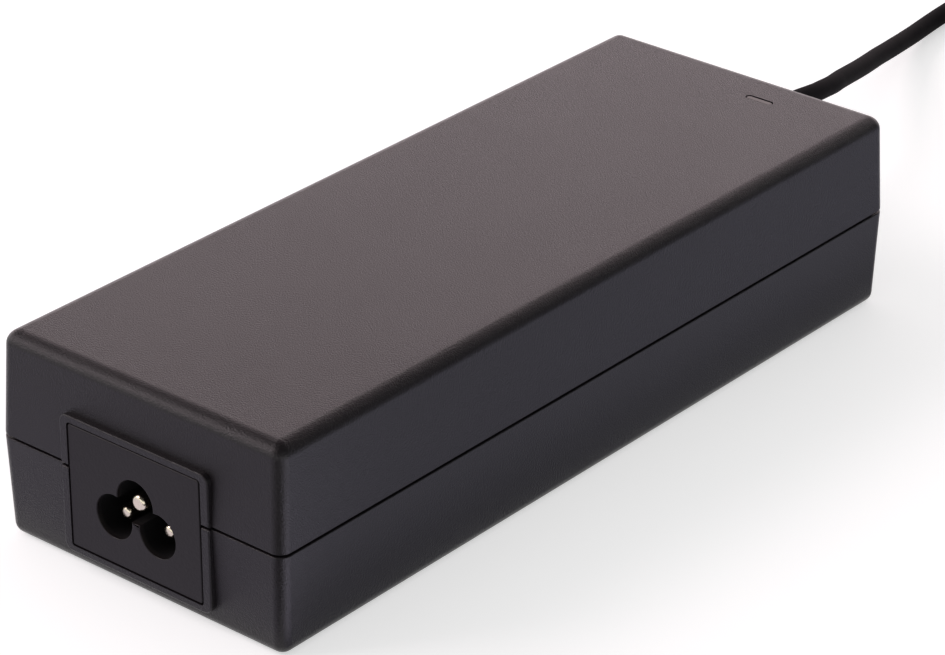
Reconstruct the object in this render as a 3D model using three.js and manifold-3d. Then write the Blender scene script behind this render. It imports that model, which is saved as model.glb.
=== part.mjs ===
// Laptop power adapter: a moulded two-part case with a three-pin mains inlet at one end, the
// power supply inside it, and a low-voltage lead with a barrel plug at the other end.
// Millimetres, +Z up. The origin is the middle of the base. The case lies along Y, with its
// inlet at the -Y end and its lead at the +Y end.

import * as THREE from 'three';
import { mergeVertices } from 'three/addons/utils/BufferGeometryUtils.js';
import Module from 'manifold-3d';

const wasm = await Module();
wasm.setup();

// ---------------------------------------------------------------- driving dimensions

const CASE_LENGTH = 170;
const CASE_WIDTH = 65;
const CASE_HEIGHT = 39;
const CORNER_RADIUS = 2.3; // upright corners
const WALL = 2.4;
const SEAM_Z = 19.5;
const SEAM_GAP = 0.45; // open line all round between the two mouldings
const FIT_GAP = 0.3; // between pieces that touch

// Each moulding leans inwards from the seam by its draft and ends in a rounded edge.
const UPPER = { side: 1, rise: CASE_HEIGHT - SEAM_Z, draftX: 0.6, draftY: 1.0, edge: 2.3 };
const LOWER = { side: -1, rise: SEAM_Z, draftX: 0.6, draftY: 0.6, edge: 2.1 };
const CORNER_STEPS = 4;
const EDGE_STEPS = 4;

// Tongue on the lower moulding, standing in a rebate of the upper one.
const TONGUE_INSET = 1.3;
const TONGUE_HEIGHT = 1.8;

// Raised frame round the mains inlet, half of it on each moulding.
const FRAME_PROUD = 0.7;
const FRAME_HALF_WIDTH = 17.05;
const FRAME_BOTTOM = 3.0;
const FRAME_TOP = 29.4;
const FRAME_CORNER = 1.7;

// Case ends, with the whole length and the raised frame centred on the origin.
const BACK_Y = (CASE_LENGTH + FRAME_PROUD) / 2;
const FRONT_Y = BACK_Y - CASE_LENGTH;
const CASE_Y = (FRONT_Y + BACK_Y) / 2;
const FRAME_Y = FRONT_Y - FRAME_PROUD;
const FRONT_INNER_Y = FRONT_Y + WALL;
const BACK_INNER_Y = BACK_Y - WALL;

// Mains inlet insert: front block, retaining flange, rear body and three-lobed recess.
const INSERT_HALF_WIDTH = 15.1;
const INSERT_BOTTOM = 4.5;
const INSERT_TOP = 27.9;
const INSERT_CORNER = 0.4;
const INSERT_GAP = 0.25;
const INSERT_SET_BACK = 0.15;
const INLET_FLANGE = { halfWidth: 17, bottom: 3, top: 30, thickness: 2 };
const INLET_REAR = { halfWidth: 13, bottom: 6.5, top: 26 };
const INSERT_Y = FRAME_Y + INSERT_SET_BACK;
// The flange stands clear of the end wall where that leans in most.
const FLANGE_LEAN = UPPER.draftY * (INLET_FLANGE.top - SEAM_Z) / UPPER.rise;
const FLANGE_Y = FRONT_INNER_Y + FLANGE_LEAN + FIT_GAP;
const INLET_DEPTH = 20;
const RECESS_DEPTH = 13;
const LOBE_RADIUS = 4.1;
const PIN_SPACING = 10; // line to neutral
const EARTH_RISE = 4.5; // earth pin above the other two
const PIN_ROW_Z = 13.6;
const PIN_RADIUS = 1.4;
const PIN_TIP_ROUNDING = 0.8;
const PIN_TIP_DEPTH = 2.9; // line and neutral tips behind the insert's face
const EARTH_TIP_DEPTH = 1.0; // the earth pin is longer, to meet first
const PIN_TAIL = 5;

// Status window in the top face.
const LENS_X = 9.5;
const LENS_Y = 75.05;
const LENS_LENGTH = 5.6;
const LENS_WIDTH = 1.1;
const LENS_GAP = 0.3;
const LENS_SET_BACK = 0.1;

// Circuit board.
const BOARD_HALF_WIDTH = 27.5;
const BOARD_FRONT = -60;
const BOARD_BACK = 78;
const BOARD_BOTTOM = 8;
const BOARD_TOP = 9.6;
const SEAT_Z = BOARD_TOP + FIT_GAP; // underside of everything mounted on the board
const BOARD_POSTS = { x: 22, front: -55, back: 73, radius: 2.5 };

// Folded sheets round the board.
const SHEET = { front: -50, back: 68, metal: 0.8, film: 0.4 };
const LOWER_SPREADER = { halfWidth: 29.2, bottom: WALL + FIT_GAP, top: 17 };
const UPPER_SPREADER = { halfWidth: 27.4, front: -46, back: 64, top: CASE_HEIGHT - WALL - FIT_GAP };

// Output lead.
const CORD_DIAMETER = 4;
const CORD_EXIT_X = -10.4;
const GLAND_HOLE_RADIUS = 4.2;
const BOOT_TIP_Y = 108.35;
const BOOT_TIP_RADIUS = 2.9;
const BOOT_ROOT_RADIUS = 4.8;
const BOOT_RIBS = 6;
const CORD_SIDES = 10;

// Free stretch of the lead, from the boot's tip down to the table and on to the coil.
const LEAD_ROUTE = [
  [-10.4, 108.65, 19.5],
  [-10.4, 112.5, 19.4],
  [-10.57, 116.5, 19.05],
  [-10.67, 120.0, 18.6],
  [-11.06, 124.0, 17.94],
  [-11.9, 128.0, 17.16],
  [-13.0, 132.5, 16.19],
  [-14.76, 137.5, 15.02],
  [-16.61, 143.0, 13.65],
  [-18.63, 149.0, 12.1],
  [-20.66, 155.0, 10.62],
  [-22.83, 161.0, 9.12],
  [-24.89, 167.0, 7.73],
  [-26.81, 173.0, 6.33],
  [-28.56, 179.0, 5.13],
  [-30.3, 185.0, 3.95],
  [-31.74, 191.0, 3.09],
  [-33.1, 197.0, 2.42],
  [-34.05, 203.0, 2.11],
  [-34.5, 209.5, 2.15],
  [-34.6, 217.0, 2.4],
  [-34.6, 225.4, 2.65],
];

// Coil: two layers of flat spiral, in and out again, leaning on the strap of its tie.
const COIL_INNER_RADIUS = 17.5;
const COIL_PITCH = 4.7;
const COIL_CLIMB_DIP = 1.0; // the climbing half turn runs this much inside the others
const COIL_LAYER_TURNS = 3;
const COIL_STEPS_PER_TURN = 24;
const COIL_SIDES = 6;
const COIL_OUTER_RADIUS = COIL_INNER_RADIUS + COIL_PITCH * COIL_LAYER_TURNS;
const COIL_X = -34.6 + COIL_OUTER_RADIUS;
const COIL_Y = 230;
const COIL_LIFT = 1.3; // how far the tie's strap raises the near side of the coil

// Cable tie round the near side of the coil.
const TIE_WIDTH = 4.8;
const TIE_THICKNESS = 0.7;
const TIE_HEAD = { width: 6, height: 5, depth: 4.2 };

// Tail of the lead, and its barrel plug lying on the table beside the coil.
const TAIL_LENGTH = 30;
const GRIP_RADIUS = 5.2;
const GRIP_LENGTH = 22;
const PLUG_BOOT_LENGTH = 13;
const PLUG_BOOT_TIP_RADIUS = 2.9;
const SLEEVE_RADIUS = 2.75;
const SLEEVE_LENGTH = 9.5;
const SLEEVE_WALL = 0.4;
const PLUG_BORE_RADIUS = 1.25;

// ---------------------------------------------------------------- geometry helpers

/** Turns a closed geometry into a solid, whichever way its profile runs. */
function solidOf(geometry) {
  const bare = geometry.clone();
  for (const name of Object.keys(bare.attributes)) {
    if (name !== 'position') bare.deleteAttribute(name);
  }
  const merged = mergeVertices(bare, 1e-4);
  const vertices = merged.attributes.position.array;
  const triangles = [];
  let volume = 0;
  const a = new THREE.Vector3();
  const b = new THREE.Vector3();
  const c = new THREE.Vector3();
  for (let i = 0; i < merged.index.count; i += 3) {
    const corners = [0, 1, 2].map((k) => merged.index.getX(i + k));
    if (new Set(corners).size < 3) continue;
    triangles.push(corners);
    a.fromArray(vertices, corners[0] * 3);
    b.fromArray(vertices, corners[1] * 3);
    c.fromArray(vertices, corners[2] * 3);
    volume += a.dot(b.cross(c));
  }
  const outward = volume < 0 ? triangles.map(([p, q, r]) => [p, r, q]) : triangles;
  return new wasm.Manifold(new wasm.Mesh({
    numProp: 3,
    vertProperties: Float32Array.from(vertices),
    triVerts: Uint32Array.from(outward.flat()),
  }));
}

function geometryOf(solid) {
  const mesh = solid.getMesh();
  const geometry = new THREE.BufferGeometry();
  geometry.setAttribute('position', new THREE.BufferAttribute(mesh.vertProperties, mesh.numProp));
  geometry.setIndex(new THREE.BufferAttribute(mesh.triVerts, 1));
  geometry.computeVertexNormals();
  return geometry;
}

const join = (first, ...others) => others.reduce((whole, part) => whole.add(part), first);
const cut = (body, ...tools) => tools.reduce((rest, tool) => rest.subtract(tool), body);

/** Box between two corners. */
function block([x0, x1], [y0, y1], [z0, z1]) {
  const geometry = new THREE.BoxGeometry(x1 - x0, y1 - y0, z1 - z0);
  geometry.translate((x0 + x1) / 2, (y0 + y1) / 2, (z0 + z1) / 2);
  return solidOf(geometry);
}

/** Rectangle with round corners, centred on a point. */
function roundedShape(halfWidth, halfHeight, radius, centreX = 0, centreY = 0) {
  const shape = new THREE.Shape();
  const x = halfWidth - radius;
  const y = halfHeight - radius;
  shape.absarc(centreX + x, centreY - y, radius, -Math.PI / 2, 0);
  shape.absarc(centreX + x, centreY + y, radius, 0, Math.PI / 2);
  shape.absarc(centreX - x, centreY + y, radius, Math.PI / 2, Math.PI);
  shape.absarc(centreX - x, centreY - y, radius, Math.PI, Math.PI * 1.5);
  return shape;
}

/** Extrudes an upright X-Z outline along Y. */
function alongY(shape, [y0, y1], curveSegments = 4) {
  const geometry = new THREE.ExtrudeGeometry(shape, {
    depth: y1 - y0, bevelEnabled: false, curveSegments,
  });
  geometry.rotateX(Math.PI / 2);
  geometry.translate(0, y1, 0);
  return solidOf(geometry);
}

/** Extrudes a flat X-Y outline upwards. */
function alongZ(shape, [z0, z1], curveSegments = 4) {
  const geometry = new THREE.ExtrudeGeometry(shape, {
    depth: z1 - z0, bevelEnabled: false, curveSegments,
  });
  geometry.translate(0, 0, z0);
  return solidOf(geometry);
}

/** Turned solid: [radius, height] points, on an axis along X, Y or Z through a point. */
function turned(profile, axis, [x, y, z], segments = 20) {
  const points = profile.map(([radius, height]) => new THREE.Vector2(radius, height));
  const geometry = new THREE.LatheGeometry(points, segments);
  if (axis === 'x') geometry.rotateZ(-Math.PI / 2);
  if (axis === 'z') geometry.rotateX(Math.PI / 2);
  geometry.translate(x, y, z);
  return solidOf(geometry);
}

/** Plain round bar from one height to another on an axis. */
function bar(radius, [start, end], axis, centre, segments = 16) {
  return turned([[0, start], [radius, start], [radius, end], [0, end]], axis, centre, segments);
}

/** Ring of points of a rounded rectangle, anticlockwise from above. */
function roundedRing(halfX, halfY, radius) {
  const points = [];
  for (let corner = 0; corner < 4; corner += 1) {
    const signX = corner === 0 || corner === 3 ? 1 : -1;
    const signY = corner < 2 ? 1 : -1;
    for (let step = 0; step <= CORNER_STEPS; step += 1) {
      const angle = (corner + step / CORNER_STEPS) * Math.PI / 2;
      points.push([
        signX * (halfX - radius) + radius * Math.cos(angle),
        signY * (halfY - radius) + radius * Math.sin(angle),
      ]);
    }
  }
  return points;
}

/** Closed skin through rings of equally many points, capped at both ends. */
function skin(rings) {
  const count = rings[0].length;
  const index = [];
  for (let level = 0; level < rings.length - 1; level += 1) {
    for (let i = 0; i < count; i += 1) {
      const a = level * count + i;
      const b = level * count + (i + 1) % count;
      index.push(a, b, b + count, a, b + count, a + count);
    }
  }
  const last = (rings.length - 1) * count;
  for (let i = 1; i < count - 1; i += 1) {
    index.push(0, i + 1, i, last, last + i, last + i + 1);
  }
  const geometry = new THREE.BufferGeometry();
  geometry.setAttribute('position', new THREE.Float32BufferAttribute(rings.flat(2), 3));
  geometry.setIndex(index);
  return solidOf(geometry);
}

/** Round tube along a smooth curve through points. */
function tube(points, radius, steps, sides) {
  const curve = new THREE.CatmullRomCurve3(points.map((p) => new THREE.Vector3(...p)));
  const section = new THREE.Shape();
  for (let side = 0; side < sides; side += 1) {
    const angle = (side / sides) * Math.PI * 2;
    const [x, y] = [radius * Math.cos(angle), radius * Math.sin(angle)];
    if (side === 0) section.moveTo(x, y);
    else section.lineTo(x, y);
  }
  section.closePath();
  return solidOf(new THREE.ExtrudeGeometry(section, {
    steps, extrudePath: curve, bevelEnabled: false,
  }));
}

// ---------------------------------------------------------------- assembly and finishes

const adapter = new THREE.Group();

const finish = (color, roughness, metalness = 0) => (
  () => new THREE.MeshStandardMaterial({ color, roughness, metalness })
);

const CASE_PLASTIC = finish(0x4b4547, 0.62);
const INLET_PLASTIC = finish(0x2c2727, 0.5);
const NICKEL = finish(0xc9c4ba, 0.25, 1);
const LENS_PLASTIC = finish(0x9a9696, 0.15);
const CORD_RUBBER = finish(0x1c1b1c, 0.55);
const TIE_NYLON = finish(0x202021, 0.45);
const CONTACT_METAL = finish(0xbdb9b0, 0.3, 1);
const BOARD_LAMINATE = finish(0x9a7b46, 0.6);
const ALUMINIUM = finish(0xb8babd, 0.4, 1);
const CLEAR_FILM = finish(0xd9d3c0, 0.35);
const FERRITE = finish(0x2b2c2e, 0.7);
const COPPER_WIRE = finish(0xa5572a, 0.35, 0.8);
const WHITE_NYLON = finish(0xe4e0d4, 0.5);
const YELLOW_TAPE = finish(0xd9b23a, 0.45);
const BLACK_EPOXY = finish(0x1a1a1b, 0.5);
const BLUE_COATING = finish(0x2c5fa8, 0.4);
const YELLOW_CASING = finish(0xe0b62d, 0.5);
const CERAMIC = finish(0xd8d2c4, 0.6);
const CAN_SLEEVE = finish(0x24303c, 0.35);
const GREEN_LED = finish(0x4fae57, 0.2);
const BROWN_WIRE = finish(0x5b3a25, 0.5);
const BLUE_WIRE = finish(0x2a55a0, 0.5);
const GREEN_WIRE = finish(0x3d8b3d, 0.5);
const RED_WIRE = finish(0xa02424, 0.5);
const BLACK_WIRE = finish(0x1b1b1b, 0.5);

function piece(name, solid, makeMaterial) {
  const mesh = new THREE.Mesh(geometryOf(solid), makeMaterial());
  mesh.name = name;
  adapter.add(mesh);
}

// ---------------------------------------------------------------- case

/** Section of a moulding: its outline at a height over the seam, drawn in by an inset. */
function caseSection(half, height, inset) {
  const lean = THREE.MathUtils.clamp(height / half.rise, 0, 1);
  const ring = roundedRing(
    CASE_WIDTH / 2 - inset - half.draftX * lean,
    CASE_LENGTH / 2 - inset - half.draftY * lean,
    Math.max(CORNER_RADIUS - inset, 0.4),
  );
  return ring.map(([x, y]) => [x, y + CASE_Y, SEAM_Z + half.side * height]);
}

/** The solid form of one moulding's outside, or of its cavity when it is inset by the wall. */
function caseForm(half, inset, start) {
  const reach = half.rise - inset;
  const edge = Math.max(half.edge - inset, 0.8);
  const sections = [caseSection(half, start, inset)];
  for (let step = 0; step <= EDGE_STEPS; step += 1) {
    const angle = (step / EDGE_STEPS) * Math.PI / 2;
    const height = reach - edge + edge * Math.sin(angle);
    sections.push(caseSection(half, height, inset + edge * (1 - Math.cos(angle))));
  }
  if (half.side < 0) sections.reverse();
  return skin(sections);
}

/** Straight-sided block of the case's outline, inset, between two heights. */
function outlineBlock(inset, z0, z1) {
  const ring = roundedRing(
    CASE_WIDTH / 2 - inset, CASE_LENGTH / 2 - inset, Math.max(CORNER_RADIUS - inset, 0.4),
  );
  return skin([z0, z1].map((z) => ring.map(([x, y]) => [x, y + CASE_Y, z])));
}

/** Everything on one side of the seam, for trimming what both mouldings share. */
function sideOfSeam(half) {
  const near = SEAM_Z + half.side * SEAM_GAP / 2;
  const far = SEAM_Z + half.side * CASE_HEIGHT;
  const reach = CASE_LENGTH;
  return block([-reach, reach], [-reach, reach], [Math.min(near, far), Math.max(near, far)]);
}

const insertOutline = (gap) => roundedShape(
  INSERT_HALF_WIDTH + gap, (INSERT_TOP - INSERT_BOTTOM) / 2 + gap, INSERT_CORNER + gap,
  0, (INSERT_TOP + INSERT_BOTTOM) / 2,
);

/** Raised frame round the inlet, and the opening through it and the end wall. */
function inletFrame(half) {
  const outline = roundedShape(
    FRAME_HALF_WIDTH, (FRAME_TOP - FRAME_BOTTOM) / 2, FRAME_CORNER,
    0, (FRAME_TOP + FRAME_BOTTOM) / 2,
  );
  const pad = alongY(outline, [FRAME_Y, FRONT_Y + TONGUE_INSET - FIT_GAP]);
  return pad.intersect(sideOfSeam(half));
}

const inletOpening = alongY(insertOutline(INSERT_GAP), [FRAME_Y - 1, FRONT_INNER_Y + 1]);
const glandHole = bar(
  GLAND_HOLE_RADIUS, [BACK_INNER_Y - 3, BACK_Y + 3], 'y', [CORD_EXIT_X, 0, SEAM_Z], 24,
);

/** Ribs behind the inlet's flange, one each side, reaching from the floor or roof. */
function inletStops(half) {
  const y0 = FLANGE_Y + INLET_FLANGE.thickness + FIT_GAP;
  const span = half.side > 0 ? [21.8, CASE_HEIGHT - WALL + 1] : [WALL - 1, 18.5];
  return join(...[[14, 22], [-22, -14]].map((xs) => block(xs, [y0, y0 + 1.6], span)));
}

function lowerCase() {
  const shell = cut(caseForm(LOWER, 0, SEAM_GAP / 2), caseForm(LOWER, WALL, -1));
  const tongue = cut(
    outlineBlock(TONGUE_INSET, SEAM_Z - 2, SEAM_Z + TONGUE_HEIGHT),
    outlineBlock(WALL, SEAM_Z - 3, SEAM_Z + TONGUE_HEIGHT + 1),
  );
  const posts = [];
  for (const y of [BOARD_POSTS.front, BOARD_POSTS.back]) {
    for (const x of [-BOARD_POSTS.x, BOARD_POSTS.x]) {
      posts.push(bar(BOARD_POSTS.radius, [WALL - 1, BOARD_BOTTOM - FIT_GAP], 'z', [x, y, 0]));
    }
  }
  const body = join(shell, tongue, inletFrame(LOWER), inletStops(LOWER), ...posts);
  return cut(body, inletOpening, glandHole);
}

function upperCase() {
  const shell = cut(caseForm(UPPER, 0, SEAM_GAP / 2), caseForm(UPPER, WALL, -1));
  const rebate = outlineBlock(
    TONGUE_INSET - FIT_GAP, SEAM_Z - 1, SEAM_Z + TONGUE_HEIGHT + FIT_GAP,
  );
  const lensSlot = alongZ(
    roundedShape(LENS_LENGTH / 2 + LENS_GAP, LENS_WIDTH / 2 + LENS_GAP, LENS_WIDTH / 2 + LENS_GAP,
      LENS_X, LENS_Y),
    [CASE_HEIGHT - WALL - 1, CASE_HEIGHT + 1],
  );
  const walls = cut(shell, rebate);
  const body = join(walls, inletFrame(UPPER), inletStops(UPPER));
  return cut(body, inletOpening, glandHole, lensSlot);
}

piece('top_case', upperCase(), CASE_PLASTIC);
piece('bottom_case', lowerCase(), CASE_PLASTIC);

/** Light guide filling the status window, held by a flange under the roof. */
function statusLens() {
  const outline = (grow) => roundedShape(
    LENS_LENGTH / 2 + grow, LENS_WIDTH / 2 + grow, LENS_WIDTH / 2 + grow, LENS_X, LENS_Y,
  );
  const flangeTop = CASE_HEIGHT - WALL - FIT_GAP;
  return join(
    alongZ(outline(0), [flangeTop - 1, CASE_HEIGHT - LENS_SET_BACK]),
    alongZ(outline(1.2), [flangeTop - 1.2, flangeTop]),
  );
}

piece('status_lens', statusLens(), LENS_PLASTIC);

// ---------------------------------------------------------------- mains inlet

const PINS = [
  { name: 'line', x: -PIN_SPACING / 2, z: PIN_ROW_Z, tipDepth: PIN_TIP_DEPTH, wire: BROWN_WIRE },
  { name: 'neutral', x: PIN_SPACING / 2, z: PIN_ROW_Z, tipDepth: PIN_TIP_DEPTH, wire: BLUE_WIRE },
  { name: 'earth', x: 0, z: PIN_ROW_Z + EARTH_RISE, tipDepth: EARTH_TIP_DEPTH, wire: GREEN_WIRE },
];

const INLET_BACK_Y = INSERT_Y + INLET_DEPTH;
const PIN_END_Y = INLET_BACK_Y + PIN_TAIL;

function inletBody() {
  const slab = ({ halfWidth, bottom, top }, ys) => (
    block([-halfWidth, halfWidth], ys, [bottom, top])
  );
  const front = alongY(insertOutline(0), [INSERT_Y, FLANGE_Y + 1]);
  const flange = slab(INLET_FLANGE, [FLANGE_Y, FLANGE_Y + INLET_FLANGE.thickness]);
  const rear = slab(INLET_REAR, [FLANGE_Y, INLET_BACK_Y]);
  const lobes = PINS.map(({ x, z }) => (
    bar(LOBE_RADIUS, [INSERT_Y - 1, INSERT_Y + RECESS_DEPTH], 'y', [x, 0, z], 24)
  ));
  const pinHoles = PINS.map(({ x, z }) => (
    bar(PIN_RADIUS + FIT_GAP, [INSERT_Y, INLET_BACK_Y + 1], 'y', [x, 0, z], 12)
  ));
  return cut(join(front, flange, rear), ...lobes, ...pinHoles);
}

piece('inlet_body', inletBody(), INLET_PLASTIC);

/** Round pin with a rounded tip that faces the mouth of the recess. */
function inletPin({ x, z, tipDepth }) {
  const tipY = INSERT_Y + tipDepth;
  const profile = [[0, tipY]];
  for (let step = 0; step <= 3; step += 1) {
    const angle = (step / 3) * Math.PI / 2;
    profile.push([
      PIN_RADIUS - PIN_TIP_ROUNDING * (1 - Math.sin(angle)),
      tipY + PIN_TIP_ROUNDING * (1 - Math.cos(angle)),
    ]);
  }
  profile.push([PIN_RADIUS, PIN_END_Y], [0, PIN_END_Y]);
  return turned(profile, 'y', [x, 0, z], 14);
}

/** Insulated wire from a pin's tail down to the board. */
function mainsWire({ x, z }) {
  const drop = z - SEAT_Z;
  return tube([
    [x, PIN_END_Y + FIT_GAP, z],
    [x, PIN_END_Y + FIT_GAP + 1.5, z],
    [x * 1.1, PIN_END_Y + 3.2, z - drop * 0.3],
    [x * 1.1, PIN_END_Y + 3.6, z - drop * 0.7],
    [x * 1.1, PIN_END_Y + 3.6, SEAT_Z],
  ], 1, 8, 6);
}

for (const pin of PINS) {
  piece(`inlet_pin_${pin.name}`, inletPin(pin), NICKEL);
  piece(`mains_wire_${pin.name}`, mainsWire(pin), pin.wire);
}

// ---------------------------------------------------------------- board and sheets

piece('circuit_board', alongZ(
  roundedShape(BOARD_HALF_WIDTH, (BOARD_BACK - BOARD_FRONT) / 2, 1.5,
    0, (BOARD_BACK + BOARD_FRONT) / 2),
  [BOARD_BOTTOM, BOARD_TOP],
), BOARD_LAMINATE);

/** Sheet folded into a channel that opens upwards (or downwards when turned over). */
function foldedSheet(halfWidth, thickness, [z0, z1], ys, opensUp) {
  const inner = opensUp ? [z0 + thickness, z1 + 1] : [z0 - 1, z1 - thickness];
  const reach = halfWidth - thickness;
  return cut(
    block([-halfWidth, halfWidth], ys, [z0, z1]),
    block([-reach, reach], [ys[0] - 1, ys[1] + 1], inner),
  );
}

const sheetSpan = [SHEET.front, SHEET.back];
const filmBottom = LOWER_SPREADER.bottom + SHEET.metal + FIT_GAP;
const filmHalfWidth = LOWER_SPREADER.halfWidth - SHEET.metal - FIT_GAP;

piece('lower_heat_spreader', foldedSheet(
  LOWER_SPREADER.halfWidth, SHEET.metal, [LOWER_SPREADER.bottom, LOWER_SPREADER.top],
  sheetSpan, true,
), ALUMINIUM);
piece('insulating_sheet', foldedSheet(
  filmHalfWidth, SHEET.film, [filmBottom, LOWER_SPREADER.top - 1], sheetSpan, true,
), CLEAR_FILM);
piece('upper_heat_spreader', foldedSheet(
  UPPER_SPREADER.halfWidth, SHEET.metal, [SEAT_Z, UPPER_SPREADER.top],
  [UPPER_SPREADER.front, UPPER_SPREADER.back], false,
), ALUMINIUM);

// ---------------------------------------------------------------- components on the board

const LEG_HALF = 0.4;

/** Square legs of a component, from the board up into its body. */
const legs = (places, top) => places.map(([x, y]) => (
  block([x - LEG_HALF, x + LEG_HALF], [y - LEG_HALF, y + LEG_HALF], [SEAT_Z, top])
));

/** Round-edged disc standing on two legs, as varistors and ceramic capacitors are. */
function discComponent(x, y, radius, thickness) {
  const centreZ = SEAT_Z + radius + 1;
  const half = thickness / 2;
  const profile = [
    [0, -half], [radius * 0.8, -half], [radius, -half * 0.4],
    [radius, half * 0.4], [radius * 0.8, half], [0, half],
  ];
  return join(
    turned(profile, 'y', [x, y, centreZ]),
    ...legs([[x - radius / 2, y], [x + radius / 2, y]], centreZ),
  );
}

/** Radial can capacitor: a rolled groove near its foot and a rounded shoulder. */
function canCapacitor(radius, length, axis, centre) {
  return turned([
    [0, 0], [radius - 0.4, 0], [radius, 0.4], [radius, 1.8], [radius - 0.5, 2.3],
    [radius, 2.8], [radius, length - 0.6], [radius - 0.6, length], [0, length],
  ], axis, centre, 24);
}

/** Power device on three legs, its tab against a heat sink at the -X side. */
function powerDevice(x, y) {
  const width = 5;
  return join(
    block([x, x + 1.3], [y - width, y + width], [SEAT_Z + 4, SEAT_Z + 19]),
    block([x, x + 4.4], [y - width, y + width], [SEAT_Z + 4, SEAT_Z + 13]),
    ...legs([[x + 2.4, y - 2.5], [x + 2.4, y], [x + 2.4, y + 2.5]], SEAT_Z + 5),
  );
}

/** Plate along the board with a flange folded inwards at its top. */
function heatSink(x, ys, top) {
  return join(
    block([x, x + 2], ys, [SEAT_Z, top]),
    block([x, x + 7], ys, [top - 2, top]),
  );
}

/** Ring lying on edge, its axis along Y. */
const ringOnEdge = (outer, inner, depth, centre) => turned([
  [inner, -depth / 2], [outer, -depth / 2], [outer, depth / 2], [inner, depth / 2],
  [inner, -depth / 2],
], 'y', centre, 24);

/** One E-shaped half of a core: a back, two outer legs and a middle leg along +X or -X. */
function coreHalf(middleX, y, { halfLength, halfDepth, height, leg }, side) {
  const ys = [y - halfDepth, y + halfDepth];
  const near = middleX + side * FIT_GAP / 2;
  const far = middleX + side * halfLength;
  const xs = [Math.min(near, far), Math.max(near, far)];
  const windowEnd = far - side * leg;
  const windowXs = side > 0 ? [near - 1, windowEnd] : [windowEnd, near + 1];
  const z0 = SEAT_Z;
  const z1 = SEAT_Z + height;
  const middle = (z0 + z1) / 2;
  return cut(
    block(xs, ys, [z0, z1]),
    block(windowXs, [ys[0] - 1, ys[1] + 1], [z0 + leg, middle - leg]),
    block(windowXs, [ys[0] - 1, ys[1] + 1], [middle + leg, z1 - leg]),
  );
}

/** Square-cornered sleeve round a core's middle leg: half its length, and how far it stands off. */
function sleeve(middleX, y, core, halfLength, inner, outer) {
  const middle = SEAT_Z + core.height / 2;
  const around = (grow) => [
    [y - core.halfDepth - grow, y + core.halfDepth + grow],
    [middle - core.leg - grow, middle + core.leg + grow],
  ];
  return cut(
    block([middleX - halfLength, middleX + halfLength], ...around(outer)),
    block([middleX - halfLength - 1, middleX + halfLength + 1], ...around(inner)),
  );
}

// Line side: fuse, surge and interference suppression.
piece('fuse', join(
  bar(2.4, [-50, -34], 'y', [-20, 0, SEAT_Z + 3.2]),
  bar(2.8, [-54, -49], 'y', [-20, 0, SEAT_Z + 3.2]),
  bar(2.8, [-35, -30], 'y', [-20, 0, SEAT_Z + 3.2]),
  ...legs([[-20, -51], [-20, -33]], SEAT_Z + 2),
), CERAMIC);
piece('varistor', discComponent(-8, -50.5, 5, 4.2), BLUE_COATING);
piece('earth_capacitor_line', discComponent(5, -53, 3.6, 3.4), BLUE_COATING);
piece('earth_capacitor_neutral', discComponent(15, -53, 3.6, 3.4), BLUE_COATING);
piece('filter_capacitor', join(
  alongZ(roundedShape(4.3, 9, 0.8, -9, -35), [SEAT_Z + 0.6, SEAT_Z + 15]),
  ...legs([[-9, -42], [-9, -28]], SEAT_Z + 2),
), YELLOW_CASING);

// Line choke: a ferrite ring on edge with a winding on each side.
const CHOKE = { x: 12, y: -38, outer: 9.5, inner: 5.2, depth: 8, wire: 1.3 };
const chokeCentre = [CHOKE.x, CHOKE.y, SEAT_Z + CHOKE.outer + CHOKE.wire + FIT_GAP];
piece('line_choke_core', ringOnEdge(CHOKE.outer, CHOKE.inner, CHOKE.depth, chokeCentre), FERRITE);

function chokeWinding(side) {
  const grow = FIT_GAP + CHOKE.wire;
  const around = (g) => ringOnEdge(CHOKE.outer + g, CHOKE.inner - g, CHOKE.depth + 2 * g, chokeCentre);
  const reach = CHOKE.outer + grow;
  const sector = block(
    side > 0 ? [CHOKE.x + 2.5, CHOKE.x + reach + 1] : [CHOKE.x - reach - 1, CHOKE.x - 2.5],
    [CHOKE.y - reach, CHOKE.y + reach],
    [chokeCentre[2] - reach * 0.75, chokeCentre[2] + reach * 0.75],
  );
  return cut(around(grow), around(FIT_GAP)).intersect(sector);
}

piece('line_choke_winding_left', chokeWinding(-1), COPPER_WIRE);
piece('line_choke_winding_right', chokeWinding(1), COPPER_WIRE);

piece('bridge_rectifier', join(
  block([-21, 1], [-22, -17.6], [SEAT_Z + 3, SEAT_Z + 18]),
  ...legs([[-18, -19.8], [-13, -19.8], [-8, -19.8], [-3, -19.8]], SEAT_Z + 4),
), BLACK_EPOXY);

// Primary side: boost stage, bulk capacitor and switching transistor.
const SINK_X = -26.2;
const DEVICE_X = SINK_X + 2 + FIT_GAP;
piece('primary_heat_sink', heatSink(SINK_X, [-14, 34], 32), ALUMINIUM);
piece('primary_transistor', powerDevice(DEVICE_X, -5), BLACK_EPOXY);
piece('boost_diode', powerDevice(DEVICE_X, 12), BLACK_EPOXY);

const BOOST_CORE = { halfLength: 10, halfDepth: 7, height: 20, leg: 3.3 };
const BOOST_X = -6;
const BOOST_Y = 0;
piece('boost_choke_core_left', coreHalf(BOOST_X, BOOST_Y, BOOST_CORE, -1), FERRITE);
piece('boost_choke_core_right', coreHalf(BOOST_X, BOOST_Y, BOOST_CORE, 1), FERRITE);
piece('boost_choke_winding', sleeve(BOOST_X, BOOST_Y, BOOST_CORE, 6.2, FIT_GAP, 3), YELLOW_TAPE);

piece('bulk_capacitor', canCapacitor(9, 34, 'y', [15.5, -19, SEAT_Z + 9]), CAN_SLEEVE);

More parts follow.
